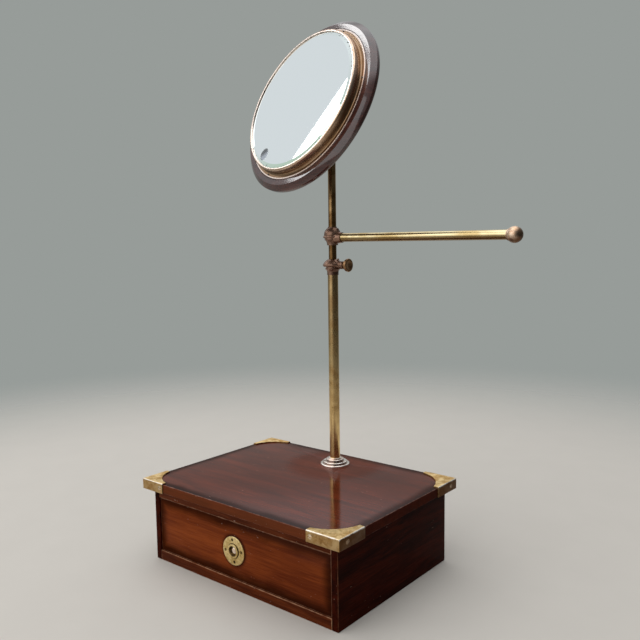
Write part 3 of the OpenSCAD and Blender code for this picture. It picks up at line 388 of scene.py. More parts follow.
def lumps(tree, where, sizes, detail=3, rough=0.55, twist=0.0, shift=0.0):
    """A value that wanders from 0 to 1, in lumps of these millimetres along X, Y and Z."""
    scaled = add_node(
        tree, "Mapping",
        {"Vector": where, "Location": [shift] * 3, "Scale": [1 / (size * MM) for size in sizes]},
    )
    return add_node(
        tree, "TexNoise",
        {"Vector": scaled, "Scale": 1, "Detail": detail, "Roughness": rough, "Distortion": twist},
    )


def streaks(along, reach, width):
    """Sizes for lumps that are drawn out along one axis, as grain is."""
    return [reach if k == along else width for k in range(3)]


def stained(tree, base, tint, mask, most):
    """A colour with a stain over it, the most where the mask is 1."""
    amount = add_node(tree, "Math", (mask, most), operation="MULTIPLY")
    return add_node(tree, "Mix", (amount, base, srgb(tint)))


def side_distances(tree, where, low, high):
    """How deep a point lies inside a box along X, Y and Z, from the nearer side each way."""
    axes = add_node(tree, "SeparateXYZ", (where,)).node.outputs
    found = []
    for k in range(3):
        middle, half = (low[k] + high[k]) / 2, (high[k] - low[k]) / 2
        offset = add_node(tree, "Math", (axes[k], middle), operation="SUBTRACT")
        from_middle = add_node(tree, "Math", (offset,), operation="ABSOLUTE")
        found.append(add_node(tree, "Math", (half, from_middle), operation="SUBTRACT"))
    return found


def arris_wear(tree, where, low, high, width):
    """1 on the edges of a board, where two of its sides meet, and 0 inside, broken up by lumps."""
    x, y, z = side_distances(tree, where, low, high)
    nearer = add_node(tree, "Math", (x, y), operation="MINIMUM")
    farther = add_node(tree, "Math", (x, y), operation="MAXIMUM")
    by_height = add_node(tree, "Math", (farther, z), operation="MINIMUM")
    second = add_node(tree, "Math", (nearer, by_height), operation="MAXIMUM")
    lumpy = lumps(tree, where, (9, 9, 9), 5, 0.7)
    uneven = add_node(tree, "Math", (lumpy, 1.6 * width * MM, second), operation="MULTIPLY_ADD")
    return add_node(tree, "MapRange", (uneven, 1.5 * width * MM, 0.8 * width * MM))


def polish_rim(tree, where, low, high, across, width):
    """1 at the rim of a board's face and 0 inside, over a width in millimetres."""
    found = side_distances(tree, where, low, high)
    nearest = add_node(tree, "Math", [found[k] for k in across], operation="MINIMUM")
    lumpy = lumps(tree, where, (30, 30, 30))
    uneven = add_node(tree, "Math", (lumpy, 0.5 * width * MM, nearest), operation="MULTIPLY_ADD")
    return add_node(tree, "MapRange", (uneven, 1.2 * width * MM, 0.35 * width * MM))


def round_mask(tree, where, centre, axis, inner, outer):
    """1 up to an inner radius round an axis, fading to 0 at the outer radius, in millimetres."""
    offset = add_node(tree, "VectorMath", (where, centre), operation="SUBTRACT")
    keep = [0 if k == axis else 1 for k in range(3)]
    flat = add_node(tree, "VectorMath", (offset, keep), operation="MULTIPLY")
    away = add_node(tree, "VectorMath", (flat,), operation="LENGTH")
    return add_node(tree, "MapRange", (away, outer * MM, inner * MM))


def facing_mask(material, axis, start, full, most):
    """A mask by the way that a surface faces: nothing where its normal measures start along the
    axis, and the most where it measures full."""
    tree = material.node_tree
    normal = add_node(tree, "TexCoord", output="Normal")
    part = add_node(tree, "SeparateXYZ", (normal,), output=axis)
    return add_node(tree, "MapRange", (part, start, full, 0.0, most))


def overlaid(material, mask, tint):
    """Covers a finished material's colour with another where a mask is 1."""
    shader = material.node_tree.nodes["Principled BSDF"]
    under = shader.inputs["Base Color"].links[0].from_socket
    over = add_node(material.node_tree, "Mix", (mask, under, srgb(tint)))
    fill(shader, {"Base Color": over})


def mahogany(
    name, dark, light, along, box=None, rim=None, worn="#8d6248", coat=0.12, gloss=0.14, seed=0.0,
    halo=None, haze=None,
):
    """French-polished mahogany: a red-brown wood, planed and filled, under many thin coats of
    shellac. It gives long streaks of darker pores, slow light and dark bands, a deep clear gloss,
    darker polish built up at the rim of a board's main face, and pale rubbed arrises. A halo is dark
    old polish round a fitting with painted shade in it, and a haze is polish left dull where a cloth
    doesn't reach."""
    material, tree, shader, where = new_material(name)
    # Pores are 0.2 mm wide, too fine to show, so they are drawn 1.1 mm wide and 30 mm long
    pores = lumps(tree, where, streaks(along, 30, 1.1), 3, 0.6, 0.2, seed)
    bands = lumps(tree, where, streaks(along, 150, 13), 4, 0.6, 0.7, seed)
    clouds = lumps(tree, where, (55, 55, 55), 2, 0.5, 0.0, seed)
    banding = add_node(tree, "Math", (bands, 0.8), operation="MULTIPLY")
    figure = add_node(tree, "Math", (pores, 0.5, banding), operation="MULTIPLY_ADD")
    wood = add_node(tree, "Mix", (add_node(tree, "MapRange", (figure, 0.4, 0.92)), dark, light))
    clouding = add_node(tree, "MapRange", (clouds, 0.35, 0.75, 0.0, 0.4))
    wood = add_node(tree, "Mix", (clouding, wood, dark))
    polish = coat
    if rim is not None:
        across, width, tint = rim
        normal = add_node(tree, "TexCoord", output="Normal")
        part = add_node(tree, "SeparateXYZ", (normal,), output=3 - sum(across))
        face = add_node(
            tree, "MapRange", (add_node(tree, "Math", (part,), operation="ABSOLUTE"), 0.6, 0.95)
        )
        edge = polish_rim(tree, where, *box, across, width)
        edge = add_node(tree, "Math", (edge, face), operation="MULTIPLY")
        wood = stained(tree, wood, tint, edge, 0.8)
        # The board's edges have little polish, its face the full coat, and the rim half of that
        on_edges = 0.06
        polish = add_node(
            tree, "Math", (face, coat - on_edges, on_edges), operation="MULTIPLY_ADD"
        )
        left_at_rim = add_node(tree, "MapRange", (edge, 0, 1, 1.0, 0.5))
        polish = add_node(tree, "Math", (polish, left_at_rim), operation="MULTIPLY")
    if haze is not None:
        hazy = round_mask(tree, where, *haze)
        left_in_haze = add_node(tree, "MapRange", (hazy, 0, 1, 1.0, 0.3))
        polish = add_node(tree, "Math", (polish, left_in_haze), operation="MULTIPLY")
        wood = stained(tree, wood, "#7d5d52", hazy, 0.3)
    if halo is not None:
        # A halo: dark old polish round a fitting, with painted shade
        wood = stained(tree, wood, "#1d0a04", round_mask(tree, where, *halo), 0.8)
    if box is not None:
        wood = stained(tree, wood, worn, arris_wear(tree, where, *box, 1.3), 0.75)
    # Short pale scratches and nicks, a few to the hand's breadth
    scattered = lumps(tree, where, streaks(along, 7, 1.6), 2, 0.5)
    nicks = add_node(tree, "MapRange", (scattered, 0.735, 0.77))
    wood = stained(tree, wood, "#b79a88", nicks, 0.5)
    smears = lumps(tree, where, (24, 24, 24), 4, 0.6)
    surface = add_node(tree, "Math", (pores, 0.35, smears), operation="MULTIPLY_ADD")
    relief = add_node(tree, "Bump", {"Height": surface, "Distance": 0.12 * MM, "Strength": 0.35})
    fill(shader, {
        "Base Color": wood,
        "Roughness": add_node(tree, "MapRange", (smears, 0.3, 0.7, 0.34, 0.5)),
        "Specular IOR Level": 0.0,
        "Coat Weight": polish,
        "Coat Roughness": gloss,
        "Normal": relief,
        "Coat Normal": relief,
    })
    return material


def plain_wood(name, dark, light, along):
    """Unpolished drawer lining: pale straight-grained pine, planed, and waxed only by hands. It
    gives soft grain lines, a dry sheen and darker handled patches."""
    material, tree, shader, where = new_material(name)
    rings = lumps(tree, where, streaks(along, 220, 5), 4, 0.6, 0.5)
    fibres = lumps(tree, where, streaks(along, 25, 0.8), 3, 0.6)
    figure = add_node(tree, "Math", (fibres, 0.4, rings), operation="MULTIPLY_ADD")
    wood = add_node(tree, "Mix", (add_node(tree, "MapRange", (figure, 0.5, 1.0)), dark, light))
    handled = lumps(tree, where, (40, 40, 40), 4, 0.6)
    grime = add_node(tree, "MapRange", (handled, 0.5, 0.75, 0.0, 0.4))
    wood = add_node(tree, "Mix", (grime, wood, srgb("#5d4024")))
    relief = add_node(tree, "Bump", {"Height": fibres, "Distance": 0.15 * MM, "Strength": 0.4})
    fill(shader, {
        "Base Color": wood, "Roughness": 0.62, "Normal": relief, "Coat Normal": relief,
    })
    return material


def aged_brass(
    name, bright, dull, stain, rough=(0.22, 0.42), patch=14, scratch=(0.9, 0.9, 0.9), stains=0.5,
    dent=0.06, grime=(),
):
    """Old lacquered brass: sheet, tube or turnings, once polished, now handled and tarnished. It
    gives a warm blurred reflection, rubbed and dulled patches, small dark stains and fine scratches
    along the way it was polished. Grime is dark rings in the steps of a turning: old polish, which
    round the push knob also stands for painted shade."""
    material, tree, shader, where = new_material(name)
    patches = lumps(tree, where, (patch, patch, patch), 5, 0.62, 0.4)
    specks = lumps(tree, where, (1.8, 1.8, 1.8), 4, 0.7)
    metal = add_node(tree, "Mix", (add_node(tree, "MapRange", (patches, 0.35, 0.65)), bright, dull))
    clustered = add_node(tree, "Math", (patches, 0.5, specks), operation="MULTIPLY_ADD")
    spots = add_node(tree, "MapRange", (clustered, 0.82, 0.95))
    metal = stained(tree, metal, stain, spots, stains)
    for centre, axis, middle, width in grime:
        outside = round_mask(tree, where, centre, axis, middle, middle + width)
        inside = round_mask(tree, where, centre, axis, middle - width, middle)
        ring = add_node(tree, "Math", (outside, inside), operation="SUBTRACT")
        metal = stained(tree, metal, stain, ring, 0.9)
    # Polishing scratches are under 0.1 mm, so they are drawn 0.5 mm wide or more
    lines = lumps(tree, where, scratch, 3, 0.7)
    uneven = add_node(tree, "Math", (lines, 0.4, patches), operation="MULTIPLY_ADD")
    fill(shader, {
        "Base Color": metal,
        "Metallic": 1.0,
        "Roughness": add_node(tree, "MapRange", (uneven, 0.5, 0.95, *rough)),
    })
    if dent:
        dents = lumps(tree, where, (4, 4, 4), 2)
        surface = add_node(tree, "Math", (lines, 0.25, dents), operation="MULTIPLY_ADD")
        relief = add_node(tree, "Bump", {"Height": surface, "Distance": dent * MM, "Strength": 0.5})
        fill(shader, {"Normal": relief, "Coat Normal": relief})
    return material


def dark_steel(name):
    """Old screws, nuts and stud: turned steel, blackened by age. It gives a dark, low gloss with
    faint rust."""
    material, tree, shader, where = new_material(name)
    rust = lumps(tree, where, (1.5, 1.5, 1.5), 4, 0.65)
    rusted = add_node(tree, "MapRange", (rust, 0.5, 0.7))
    relief = add_node(tree, "Bump", {"Height": rust, "Distance": 0.05 * MM, "Strength": 0.5})
    fill(shader, {
        "Base Color": add_node(tree, "Mix", (rusted, srgb("#6a6865"), srgb("#4b3528"))),
        "Metallic": 1.0,
        "Roughness": add_node(tree, "MapRange", (rust, 0.3, 0.8, 0.35, 0.65)),
        "Normal": relief,
        "Coat Normal": relief,
    })
    return material


def mirror_point(tree, where):
    """A point in the mirror's own frame, from the pivot."""
    return add_node(
        tree, "Mapping",
        {"Vector": where, "Location": MIRROR_PLACE.to_translation(),
         "Rotation": MIRROR_PLACE.to_euler()},
        vector_type="TEXTURE",
    )


def silvered_glass(name, tint, radius):
    """Silvered plate glass with a ground bevel: a clear, faintly green and nearly perfect
    reflection, with the silver gone in one small patch and in dark specks at the very edge."""
    material, tree, shader, where = new_material(name)
    across = mirror_point(tree, where)
    flat = add_node(tree, "VectorMath", (across, LEVEL), operation="MULTIPLY")
    from_centre = add_node(tree, "VectorMath", (flat,), operation="LENGTH")
    # The lost silver: a patch about 14 mm across near the lower left edge, darker on one side
    patch = add_node(
        tree, "Mapping",
        {"Vector": flat, "Location": (-35.8 * MM, -64 * MM, 0),
         "Rotation": (0, 0, math.radians(-23)), "Scale": (7 * MM, 7.6 * MM, 1)},
        vector_type="TEXTURE",
    )
    reach = add_node(tree, "VectorMath", (patch,), operation="LENGTH")
    mottle = lumps(tree, across, (3, 3, 3), 4, 0.6)
    ragged = add_node(tree, "Math", (mottle, 0.4, reach), operation="MULTIPLY_ADD")
    lost = add_node(tree, "MapRange", (ragged, 1.27, 1.1))
    side = add_node(tree, "VectorMath", (patch, (0.5, -0.5, 0)), operation="DOT_PRODUCT")
    lighter = add_node(tree, "MapRange", (side, -0.35, 0.35))
    bare = add_node(tree, "Mix", (lighter, srgb("#3a3f43"), srgb("#8f969f")))
    # Specks of lost silver in the last millimetres before the bezel
    edge = add_node(tree, "MapRange", (from_centre, radius - 6 * MM, radius))
    scattered = lumps(tree, across, (2.2, 2.2, 2.2), 3, 0.6)
    crowded = add_node(tree, "Math", (edge, 0.12, scattered), operation="MULTIPLY_ADD")
    specks = add_node(tree, "MapRange", (crowded, 0.68, 0.72))
    specks = add_node(tree, "Math", (specks, edge), operation="MULTIPLY")
    # The bevel is greener towards the bottom: partly the glass's own green, partly a painted duller
    # reflection on that side
    bevel = add_node(tree, "MapRange", (from_centre, radius - 5.1 * MM, radius - 4.7 * MM))
    down = add_node(tree, "VectorMath", (flat, (0.5, -0.87, 0)), operation="DOT_PRODUCT")
    greener = add_node(tree, "MapRange", (down, 0.2 * radius, 0.9 * radius, 0.1, 0.8))
    green = add_node(tree, "Math", (bevel, greener), operation="MULTIPLY")
    silver = add_node(tree, "Mix", (green, tint, srgb("#c4dcc2")))
    silver = add_node(tree, "Mix", (specks, silver, srgb("#2f3b30")))
    fill(shader, {
        "Base Color": add_node(tree, "Mix", (lost, silver, bare)),
        "Metallic": add_node(tree, "MapRange", (lost, 0, 1, 1.0, 0.35)),
        "Roughness": add_node(tree, "Math", (lost, 0.3, 0.012), operation="MULTIPLY_ADD"),
    })
    return material


# Pieces


class MIRROR_OT_case(bpy.types.Operator):
    """Case boards and rails with worn arrises, and the pale wood inside"""

    bl_idname = "shaving_mirror.case"
    bl_label = "Case"

    def execute(self, context):
        look = context.scene.mirror_case
        outside = (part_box("side_left")[0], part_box("side_right")[1])
        # The case's dark grain colours hold painted shade besides the wood's own dark tone
        board = mahogany(
            "French-polished mahogany, case", look.side_dark, look.side_light, 1, outside,
            worn="#6f4630", coat=0.08, gloss=0.2,
        )
        for node in ("side_left", "side_right", "carcass_back"):
            piece = worn_copy(node, "board_" + node, look.board_arris)
            dress(piece, board, "case", "case_mahogany", node)
        for node in ("bottom_rail", "top_rail"):
            rail = mahogany(
                "French-polished mahogany, " + node, look.rail_dark, look.rail_light, 0,
                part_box(node), worn="#b98d6c",
            )
            piece = worn_copy(node, "polished_" + node, look.board_arris)
            dress(piece, rail, "case", "rail_mahogany", node)
        lining = plain_wood("Planed pine, case", look.inner_dark, look.inner_light, 0)
        finish_nodes(lining, "bottom_board", "drawer_stops")
        runners = plain_wood("Planed pine, runners", look.inner_dark, look.inner_light, 1)
        finish_nodes(runners, "runner_left", "runner_right", "kicker_left", "kicker_right")
        finish_nodes(dark_steel("Blackened steel, case"), "top_screws")
        return {"FINISHED"}


class MIRROR_OT_top(bpy.types.Operator):
    """Polished top board"""

    bl_idname = "shaving_mirror.top"
    bl_label = "Top board"

    def execute(self, context):
        look = context.scene.mirror_case
        polish = mahogany(
            "French-polished mahogany, top", look.top_dark, look.top_light, 0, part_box("top_board"),
            rim=((0, 1), 17, "#1a100d"), worn="#9a7468", coat=0.85, gloss=0.09, seed=3.7,
            haze=(middle_of("column_flange"), 2, 34, 80),
        )
        # The right edge is painted darker as shade, and the front edge is lighter and browner
        overlaid(polish, facing_mask(polish, "X", 0.5, 0.9, 0.6), "#200a04")
        overlaid(polish, facing_mask(polish, "Y", -0.5, -0.9, 0.35), "#75482b")
        piece = worn_copy("top_board", "top_slab", look.top_arris)
        dress(piece, polish, "case", "top_mahogany", "top_board")
        return {"FINISHED"}


class MIRROR_OT_caps(bpy.types.Operator):
    """Brass corner caps and their filed screws"""

    bl_idname = "shaving_mirror.caps"
    bl_label = "Corner caps"

    def execute(self, context):
        look = context.scene.mirror_case
        low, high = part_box("cap_front_left")[0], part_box("cap_rear_right")[1]
        sheet = aged_brass(
            "Aged sheet brass", look.cap_bright, look.cap_dull, "#4c3a26", (0.46, 0.6), 11,
            stains=0.6, dent=0.1,
        )
        # The upright flanges are browner than the top, those facing right are painted dark as shade,
        # and the upper arrises are rubbed bright with a painted highlight
        overlaid(sheet, facing_mask(sheet, "Z", 0.8, 0.3, 0.5), "#7c532c")
        overlaid(sheet, facing_mask(sheet, "X", 0.5, 0.9, 0.9), "#4a2603")
        tree = sheet.node_tree
        where = add_node(tree, "TexCoord", output="Object")
        height = add_node(tree, "SeparateXYZ", (where,), output="Z")
        upper = add_node(tree, "MapRange", (height, high.z - 3 * MM, high.z - 1 * MM))
        wear = arris_wear(tree, where, low, high, 2)
        # A painted highlight along the upper arrises, where they are also rubbed bright
        rubbed = add_node(tree, "Math", (wear, upper), operation="MULTIPLY")
        overlaid(sheet, rubbed, "#fff8ee")
        for corner in ("front_left", "front_right", "rear_left", "rear_right"):
            piece = worn_copy("cap_" + corner, "brass_cap_" + corner, look.cap_arris, 2)
            dress(piece, sheet, "case", "cap_brass", "cap_" + corner)
        filed = aged_brass(
            "Polished screw brass", look.screw_bright, look.screw_dull, "#4c3a26", (0.18, 0.3), 5
        )
        # The right-facing sides of the screws are painted dark as shade
        overlaid(filed, facing_mask(filed, "X", 0.5, 0.9, 0.7), "#5a3a1c")
        finish_nodes(filed, "cap_screws")
        return {"FINISHED"}


class MIRROR_OT_drawer(bpy.types.Operator):
    """Drawer with its figured front and dovetailed lining"""

    bl_idname = "shaving_mirror.drawer"
    bl_label = "Drawer"

    def execute(self, context):
        look = context.scene.mirror_case
        # The halo round the knob plate is dark old polish with painted shade
        front = mahogany(
            "French-polished mahogany, drawer front", look.front_dark, look.front_light, 0,
            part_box("drawer_front"), rim=((0, 2), 16, "#1c0803"), worn="#8a6450", coat=0.08,
            gloss=0.2, seed=9.1, halo=(middle_of("knob_plate"), 1, 15.5, 21),
        )
        piece = worn_copy("drawer_front", "polished_drawer_front", look.drawer_arris)
        dress(piece, front, "drawer", "drawer_mahogany", "drawer_front")
        sides = plain_wood("Planed pine, drawer sides", look.inner_dark, look.inner_light, 1)
        across = plain_wood("Planed pine, drawer back", look.inner_dark, look.inner_light, 0)
        finish_nodes(sides, "drawer_side_left", "drawer_side_right")
        finish_nodes(across, "drawer_back", "drawer_bottom")
        soften_nodes(0.4 * MM, "drawer_back")
        return {"FINISHED"}


class MIRROR_OT_knob(bpy.types.Operator):
    """Push knob, its ring and its round plate"""

    bl_idname = "shaving_mirror.knob"
    bl_label = "Push knob"

    def execute(self, context):
        look = context.scene.mirror_column
        middle = middle_of("push_knob")
        # Old polish and painted shade lie round the raised ring and round the knob inside it
        plate = aged_brass(
            "Yellow plate brass", look.plate_bright, look.plate_dull, "#3a260f", (0.26, 0.38), 9,
            stains=0.4, grime=((middle, 1, 8.2, 0.8), (middle, 1, 5.4, 0.7)),
        )
        finish_nodes(plate, "knob_plate", "knob_barrel", "barrel_nut")
        knob = aged_brass(
            "Polished knob brass", look.knob_bright, look.knob_dull, "#5f4a26", (0.12, 0.22), 6
        )
        finish_nodes(knob, "push_knob")
        screws = aged_brass(
            "Dark screw brass", srgb("#7a6434"), srgb("#3d2f16"), "#1a120a", (0.35, 0.5), 3
        )
        finish_nodes(screws, "plate_screws")
        finish_nodes(dark_steel("Blackened steel, spring"), "knob_spring")
        return {"FINISHED"}


class MIRROR_OT_column(bpy.types.Operator):
    """Foot flange, fixed tube, sliding rod and the clamp with its thumbscrew"""

    bl_idname = "shaving_mirror.column"
    bl_label = "Column"

    def execute(self, context):
        look = context.scene.mirror_column
        low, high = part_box("outer_tube")
        # Tubes were polished along their length
        drawn = (0.5, 0.5, 25)
        tube_metal = aged_brass(
            "Lacquered tube brass", look.tube_bright, look.tube_dull, "#4b3413", (0.2, 0.34), 30,
            scratch=drawn, stains=0.2, dent=0,
        )
        # The tube is painted browner and duller up towards the clamp
        tree = tube_metal.node_tree
        where = add_node(tree, "TexCoord", output="Object")
        height = add_node(tree, "SeparateXYZ", (where,), output="Z")
        start = low.z + 0.1 * (high.z - low.z)
        browner_upwards = add_node(tree, "MapRange", (height, start, high.z, 0.0, 0.75))
        overlaid(tube_metal, browner_upwards, "#937654")
        slack = 0.05 * MM
        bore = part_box("inner_rod")[1].x + slack
        self.tube("column_tube", low, high, bore, look.tube_edge, tube_metal, "case", "outer_tube")
        rod_metal = aged_brass(
            "Tarnished rod brass", look.rod_bright, look.rod_dull, "#2f1d0c", (0.2, 0.32), 24,
            scratch=drawn, stains=0.2, dent=0,
        )
        low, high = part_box("inner_rod")
        self.tube("sliding_rod", low, high, 0, look.tube_edge, rod_metal, "rod", "inner_rod")
        # Old polish lies in the two steps of the foot
        foot_middle = middle_of("column_flange")
        foot = aged_brass(
            "Pink turned brass", look.flange_bright, look.flange_dull, "#6b4f42", (0.22, 0.32), 9,
            stains=0.25, dent=0.006,
            grime=((foot_middle, 2, 15.1, 0.4), (foot_middle, 2, 10.9, 0.4)),
        )
        finish_nodes(foot, "column_flange")
        bronze = aged_brass(
            "Dark turned bronze", look.collar_bright, look.collar_dull, "#2c1c14", (0.36, 0.44), 16,
            stains=0.06, dent=0,
        )
        finish_nodes(bronze, "clamp_collar", "guide_screw", "arm_collar", "arm_set_screw",
                     "flange_screws")
        handled = aged_brass(
            "Handled thumbscrew brass", look.thumb_bright, look.thumb_dull, "#2c1c14", (0.28, 0.4),
            7, stains=0.15, dent=0,
        )
        finish_nodes(handled, "thumbscrew")
        steel = dark_steel("Blackened steel, column")
        finish_nodes(steel, "column_stud", "stud_washer", "stud_nut", "arm_stop_ring")
        return {"FINISHED"}

    def tube(self, name, low, high, bore, edge, metal, body, node):
        """A tube or rod between the ends of its node, with chamfered ends."""
        r = (high.x - low.x) / 2
        profile = [(bore, low.z), (r - edge, low.z), (r, low.z + edge), (r, high.z - edge),
                   (r - edge, high.z), (bore, high.z)]
        if bore:
            profile.append(profile[0])
        piece = turned(name, profile, 96)
        place(piece, Matrix.Translation(((low.x + high.x) / 2, (low.y + high.y) / 2, 0)))
        dress(piece, metal, body, "tube_brass", node)


class MIRROR_OT_arm(bpy.types.Operator):
    """Side arm with its ball end"""

    bl_idname = "shaving_mirror.arm"
    bl_label = "Side arm"

    def execute(self, context):
        look = context.scene.mirror_column
        metal = aged_brass(
            "Pale tube brass", look.arm_bright, look.arm_dull, "#4b3413", (0.18, 0.26), 26,
            scratch=(25, 0.5, 0.5), stains=0.08, dent=0,
        )
        # The underside of the arm is painted darker as shade
        overlaid(metal, facing_mask(metal, "Z", 0.3, -0.35, 0.85), "#6d4f26")
        low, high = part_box("arm_tube")
        r = (high.z - low.z) / 2
        bore, edge = r - look.arm_wall, look.tube_edge / 2
        profile = [(bore, low.x), (r, low.x), (r, high.x - edge), (r - edge, high.x),
                   (bore, high.x), (bore, low.x)]
        axis = Vector((0, (low.y + high.y) / 2, (low.z + high.z) / 2))
        along_x = Matrix.Translation(axis) @ Matrix.Rotation(math.radians(90), 4, "Y")
        piece = turned("arm_pipe", profile, 96)
        place(piece, along_x)
        dress(piece, metal, "arm", "tube_brass", "arm_tube")
        ball_metal = aged_brass(
            "Pink turned brass, ball", look.ball_bright, look.ball_dull, "#5a3d28", (0.36, 0.46), 9,
            stains=0.12, dent=0,
        )
        # Painted shade: the underside and the right-facing side of the ball are darker
        overlaid(ball_metal, facing_mask(ball_metal, "Z", 0.1, -0.7, 0.9), "#5f3c20")
        overlaid(ball_metal, facing_mask(ball_metal, "X", 0.2, 0.8, 0.85), "#5a3a22")
        finish_nodes(ball_metal, "arm_ball")
        return {"FINISHED"}


class MIRROR_OT_pivot(bpy.types.Operator):
    """Swivel head, back plate and tilt nut"""

    bl_idname = "shaving_mirror.pivot"
    bl_label = "Mirror pivot"

    def execute(self, context):
        look = context.scene.mirror_column
        brass = aged_brass(
            "Aged cast brass", look.tube_bright, look.tube_dull, "#3d2a14", (0.28, 0.45), 8,
            stains=0.4,
        )
        finish_nodes(brass, "pivot_plate", "tilt_nut", "pivot_plate_screws")
        bronze = aged_brass(
            "Dark turned bronze, head", look.collar_bright, look.collar_dull, "#2c1c14",
            (0.24, 0.42), 5,
        )
        finish_nodes(bronze, "swivel_head")
        finish_nodes(dark_steel("Blackened steel, pivot"), "pivot_bolt")
        return {"FINISHED"}


class MIRROR_OT_head(bpy.types.Operator):
    """Turned frame, spun bezel, its pins and the bevelled glass"""

    bl_idname = "shaving_mirror.head"
    bl_label = "Mirror head"

    # Heights along the normal from the pivot, and radii of the spun bezel
    board_back = 30.3 * MM
    wall_r = 87.4 * MM
    wall_t = 1.3 * MM
    open_r = 84.4 * MM
    flange_r = 92.9 * MM
    flange_t = 0.6 * MM
    bezel_h = 11.3 * MM
    lip_t = 1.2 * MM
    top_round = 1.9 * MM
    cove = 2 * MM
    glass_t = 5 * MM
    play = 0.1 * MM

    def execute(self, context):
        look = context.scene.mirror_head
        inside = context.scene.mirror_case
        board_front = self.board_back + look.frame_thickness
        self.frame(look, board_front)
        self.bezel(look, board_front)
        self.glass(look, board_front + self.bezel_h - self.lip_t - self.play)
        backing = plain_wood("Planed pine, backing", inside.inner_dark, inside.inner_light, 0)
        finish_nodes(backing, "backing_board")
        return {"FINISHED"}

    def frame(self, look, front):
        """Turned disc with a rounded rear edge, a chamfer, and a fine line cut into its face."""
        r, b = look.frame_radius, look.back_round
        face_r = r - look.chamfer_width
        soft = 0.35 * MM
        line_r, line_w = self.flange_r + 0.9 * MM, 0.35 * MM
        profile = [(0, self.board_back)]
        profile += arc((r - b, self.board_back + b), b, -90, 0, 8)
        profile += arc((r - soft, front - look.chamfer_depth - soft), soft, 0, 50, 3)
        profile += [(face_r + soft, front - 0.6 * soft), (face_r, front), (line_r + line_w, front),
                    (line_r, front - line_w), (line_r - line_w, front), (0, front)]
        piece = turned("turned_frame", profile, 256, 25)
        place(piece, MIRROR_PLACE)
        wood = mahogany(
            "French-polished mahogany, mirror frame", look.frame_dark, look.frame_light, 0,
            coat=1.0, gloss=0.07, seed=5.3,
        )
        # The frame is varnished as well, and reflects more than shellac alone
        fill(wood.node_tree.nodes["Principled BSDF"], {"Coat IOR": 1.75})
        dress(piece, wood, "mirror", "frame_mahogany", "mirror_board")

    def bezel(self, look, base):
        """Flange, hollow, wall, rounded top and lip, closed round the inside."""
        top = base + self.bezel_h
        inner = self.wall_r - self.wall_t
        edge = 0.25 * MM
        hollow = (self.wall_r + self.cove, base + self.flange_t + self.cove)
        shoulder = (self.wall_r - self.top_round, top - self.top_round)
        profile = [(inner, base), (self.flange_r, base)]
        profile += arc((self.flange_r - edge, base + self.flange_t - edge), edge, 0, 90, 3)
        profile += arc(hollow, self.cove, -90, -180, 8)
        profile += arc(shoulder, self.top_round, 0, 90, 10)
        profile += [(self.open_r + edge, top), (self.open_r, top - edge),
                    (self.open_r, top - self.lip_t), (inner, top - self.lip_t), (inner, base)]
        piece = turned("spun_bezel", profile, 256, 40)
        place(piece, MIRROR_PLACE)
        metal = aged_brass(
            "Spun bezel brass", look.bezel_bright, look.bezel_dull, "#3b2412", (0.2, 0.32), 40,
            stains=0.1, dent=0.004,
        )
        self.patina(metal, base)
        dress(piece, metal, "mirror", "bezel_brass", "bezel")
        finish_nodes(dark_steel("Blackened steel, pins"), "bezel_pins")

    def patina(self, metal, base):
        """Brown tarnish in the hollow between wall and flange, and a painted highlight on the lip
        and flange.
        """
        tree = metal.node_tree
        where = mirror_point(tree, add_node(tree, "TexCoord", output="Object"))
        flat = add_node(tree, "VectorMath", (where, LEVEL), operation="MULTIPLY")
        away = add_node(tree, "VectorMath", (flat,), operation="LENGTH")
        height = add_node(tree, "SeparateXYZ", (where,), output="Z")
        low = add_node(
            tree, "MapRange", (height, base + 0.85 * self.bezel_h, base + 0.45 * self.bezel_h)
        )
        inside = add_node(
            tree, "MapRange", (away, self.flange_r - 1 * MM, self.flange_r - 1.9 * MM)
        )
        hollow = add_node(tree, "Math", (low, inside), operation="MULTIPLY")
        brown = add_node(tree, "Math", (hollow, 0.8), operation="MULTIPLY")
        overlaid(metal, brown, "#80603f")
        lip = add_node(
            tree, "MapRange", (away, self.wall_r - 0.6 * self.top_round, self.open_r + 0.6 * MM)
        )
        flange = add_node(
            tree, "MapRange", (away, self.flange_r - 1.6 * MM, self.flange_r - 0.9 * MM)
        )
        # rubbed: a painted highlight on the lip and the flange's edge
        rubbed = add_node(tree, "Math", (lip, flange), operation="MAXIMUM")
        overlaid(metal, rubbed, "#ffeadd")

    def glass(self, look, lip):
        """Plate glass whose bevel runs on under the bezel's lip."""
        front = lip + look.bevel_depth
        inside = self.open_r - look.bevel_width
        outside = self.wall_r - self.wall_t - self.play
        drop = look.bevel_depth * (outside - inside) / look.bevel_width
        back = front - self.glass_t
        profile = [(0, back), (outside, back), (outside, front - drop), (inside, front), (0, front)]
        piece = turned("bevelled_glass", profile, 256, 3)
        place(piece, MIRROR_PLACE)
        silver = silvered_glass("Silvered plate glass", look.glass, self.open_r)
        dress(piece, silver, "mirror", "silvered_glass", "mirror_glass")


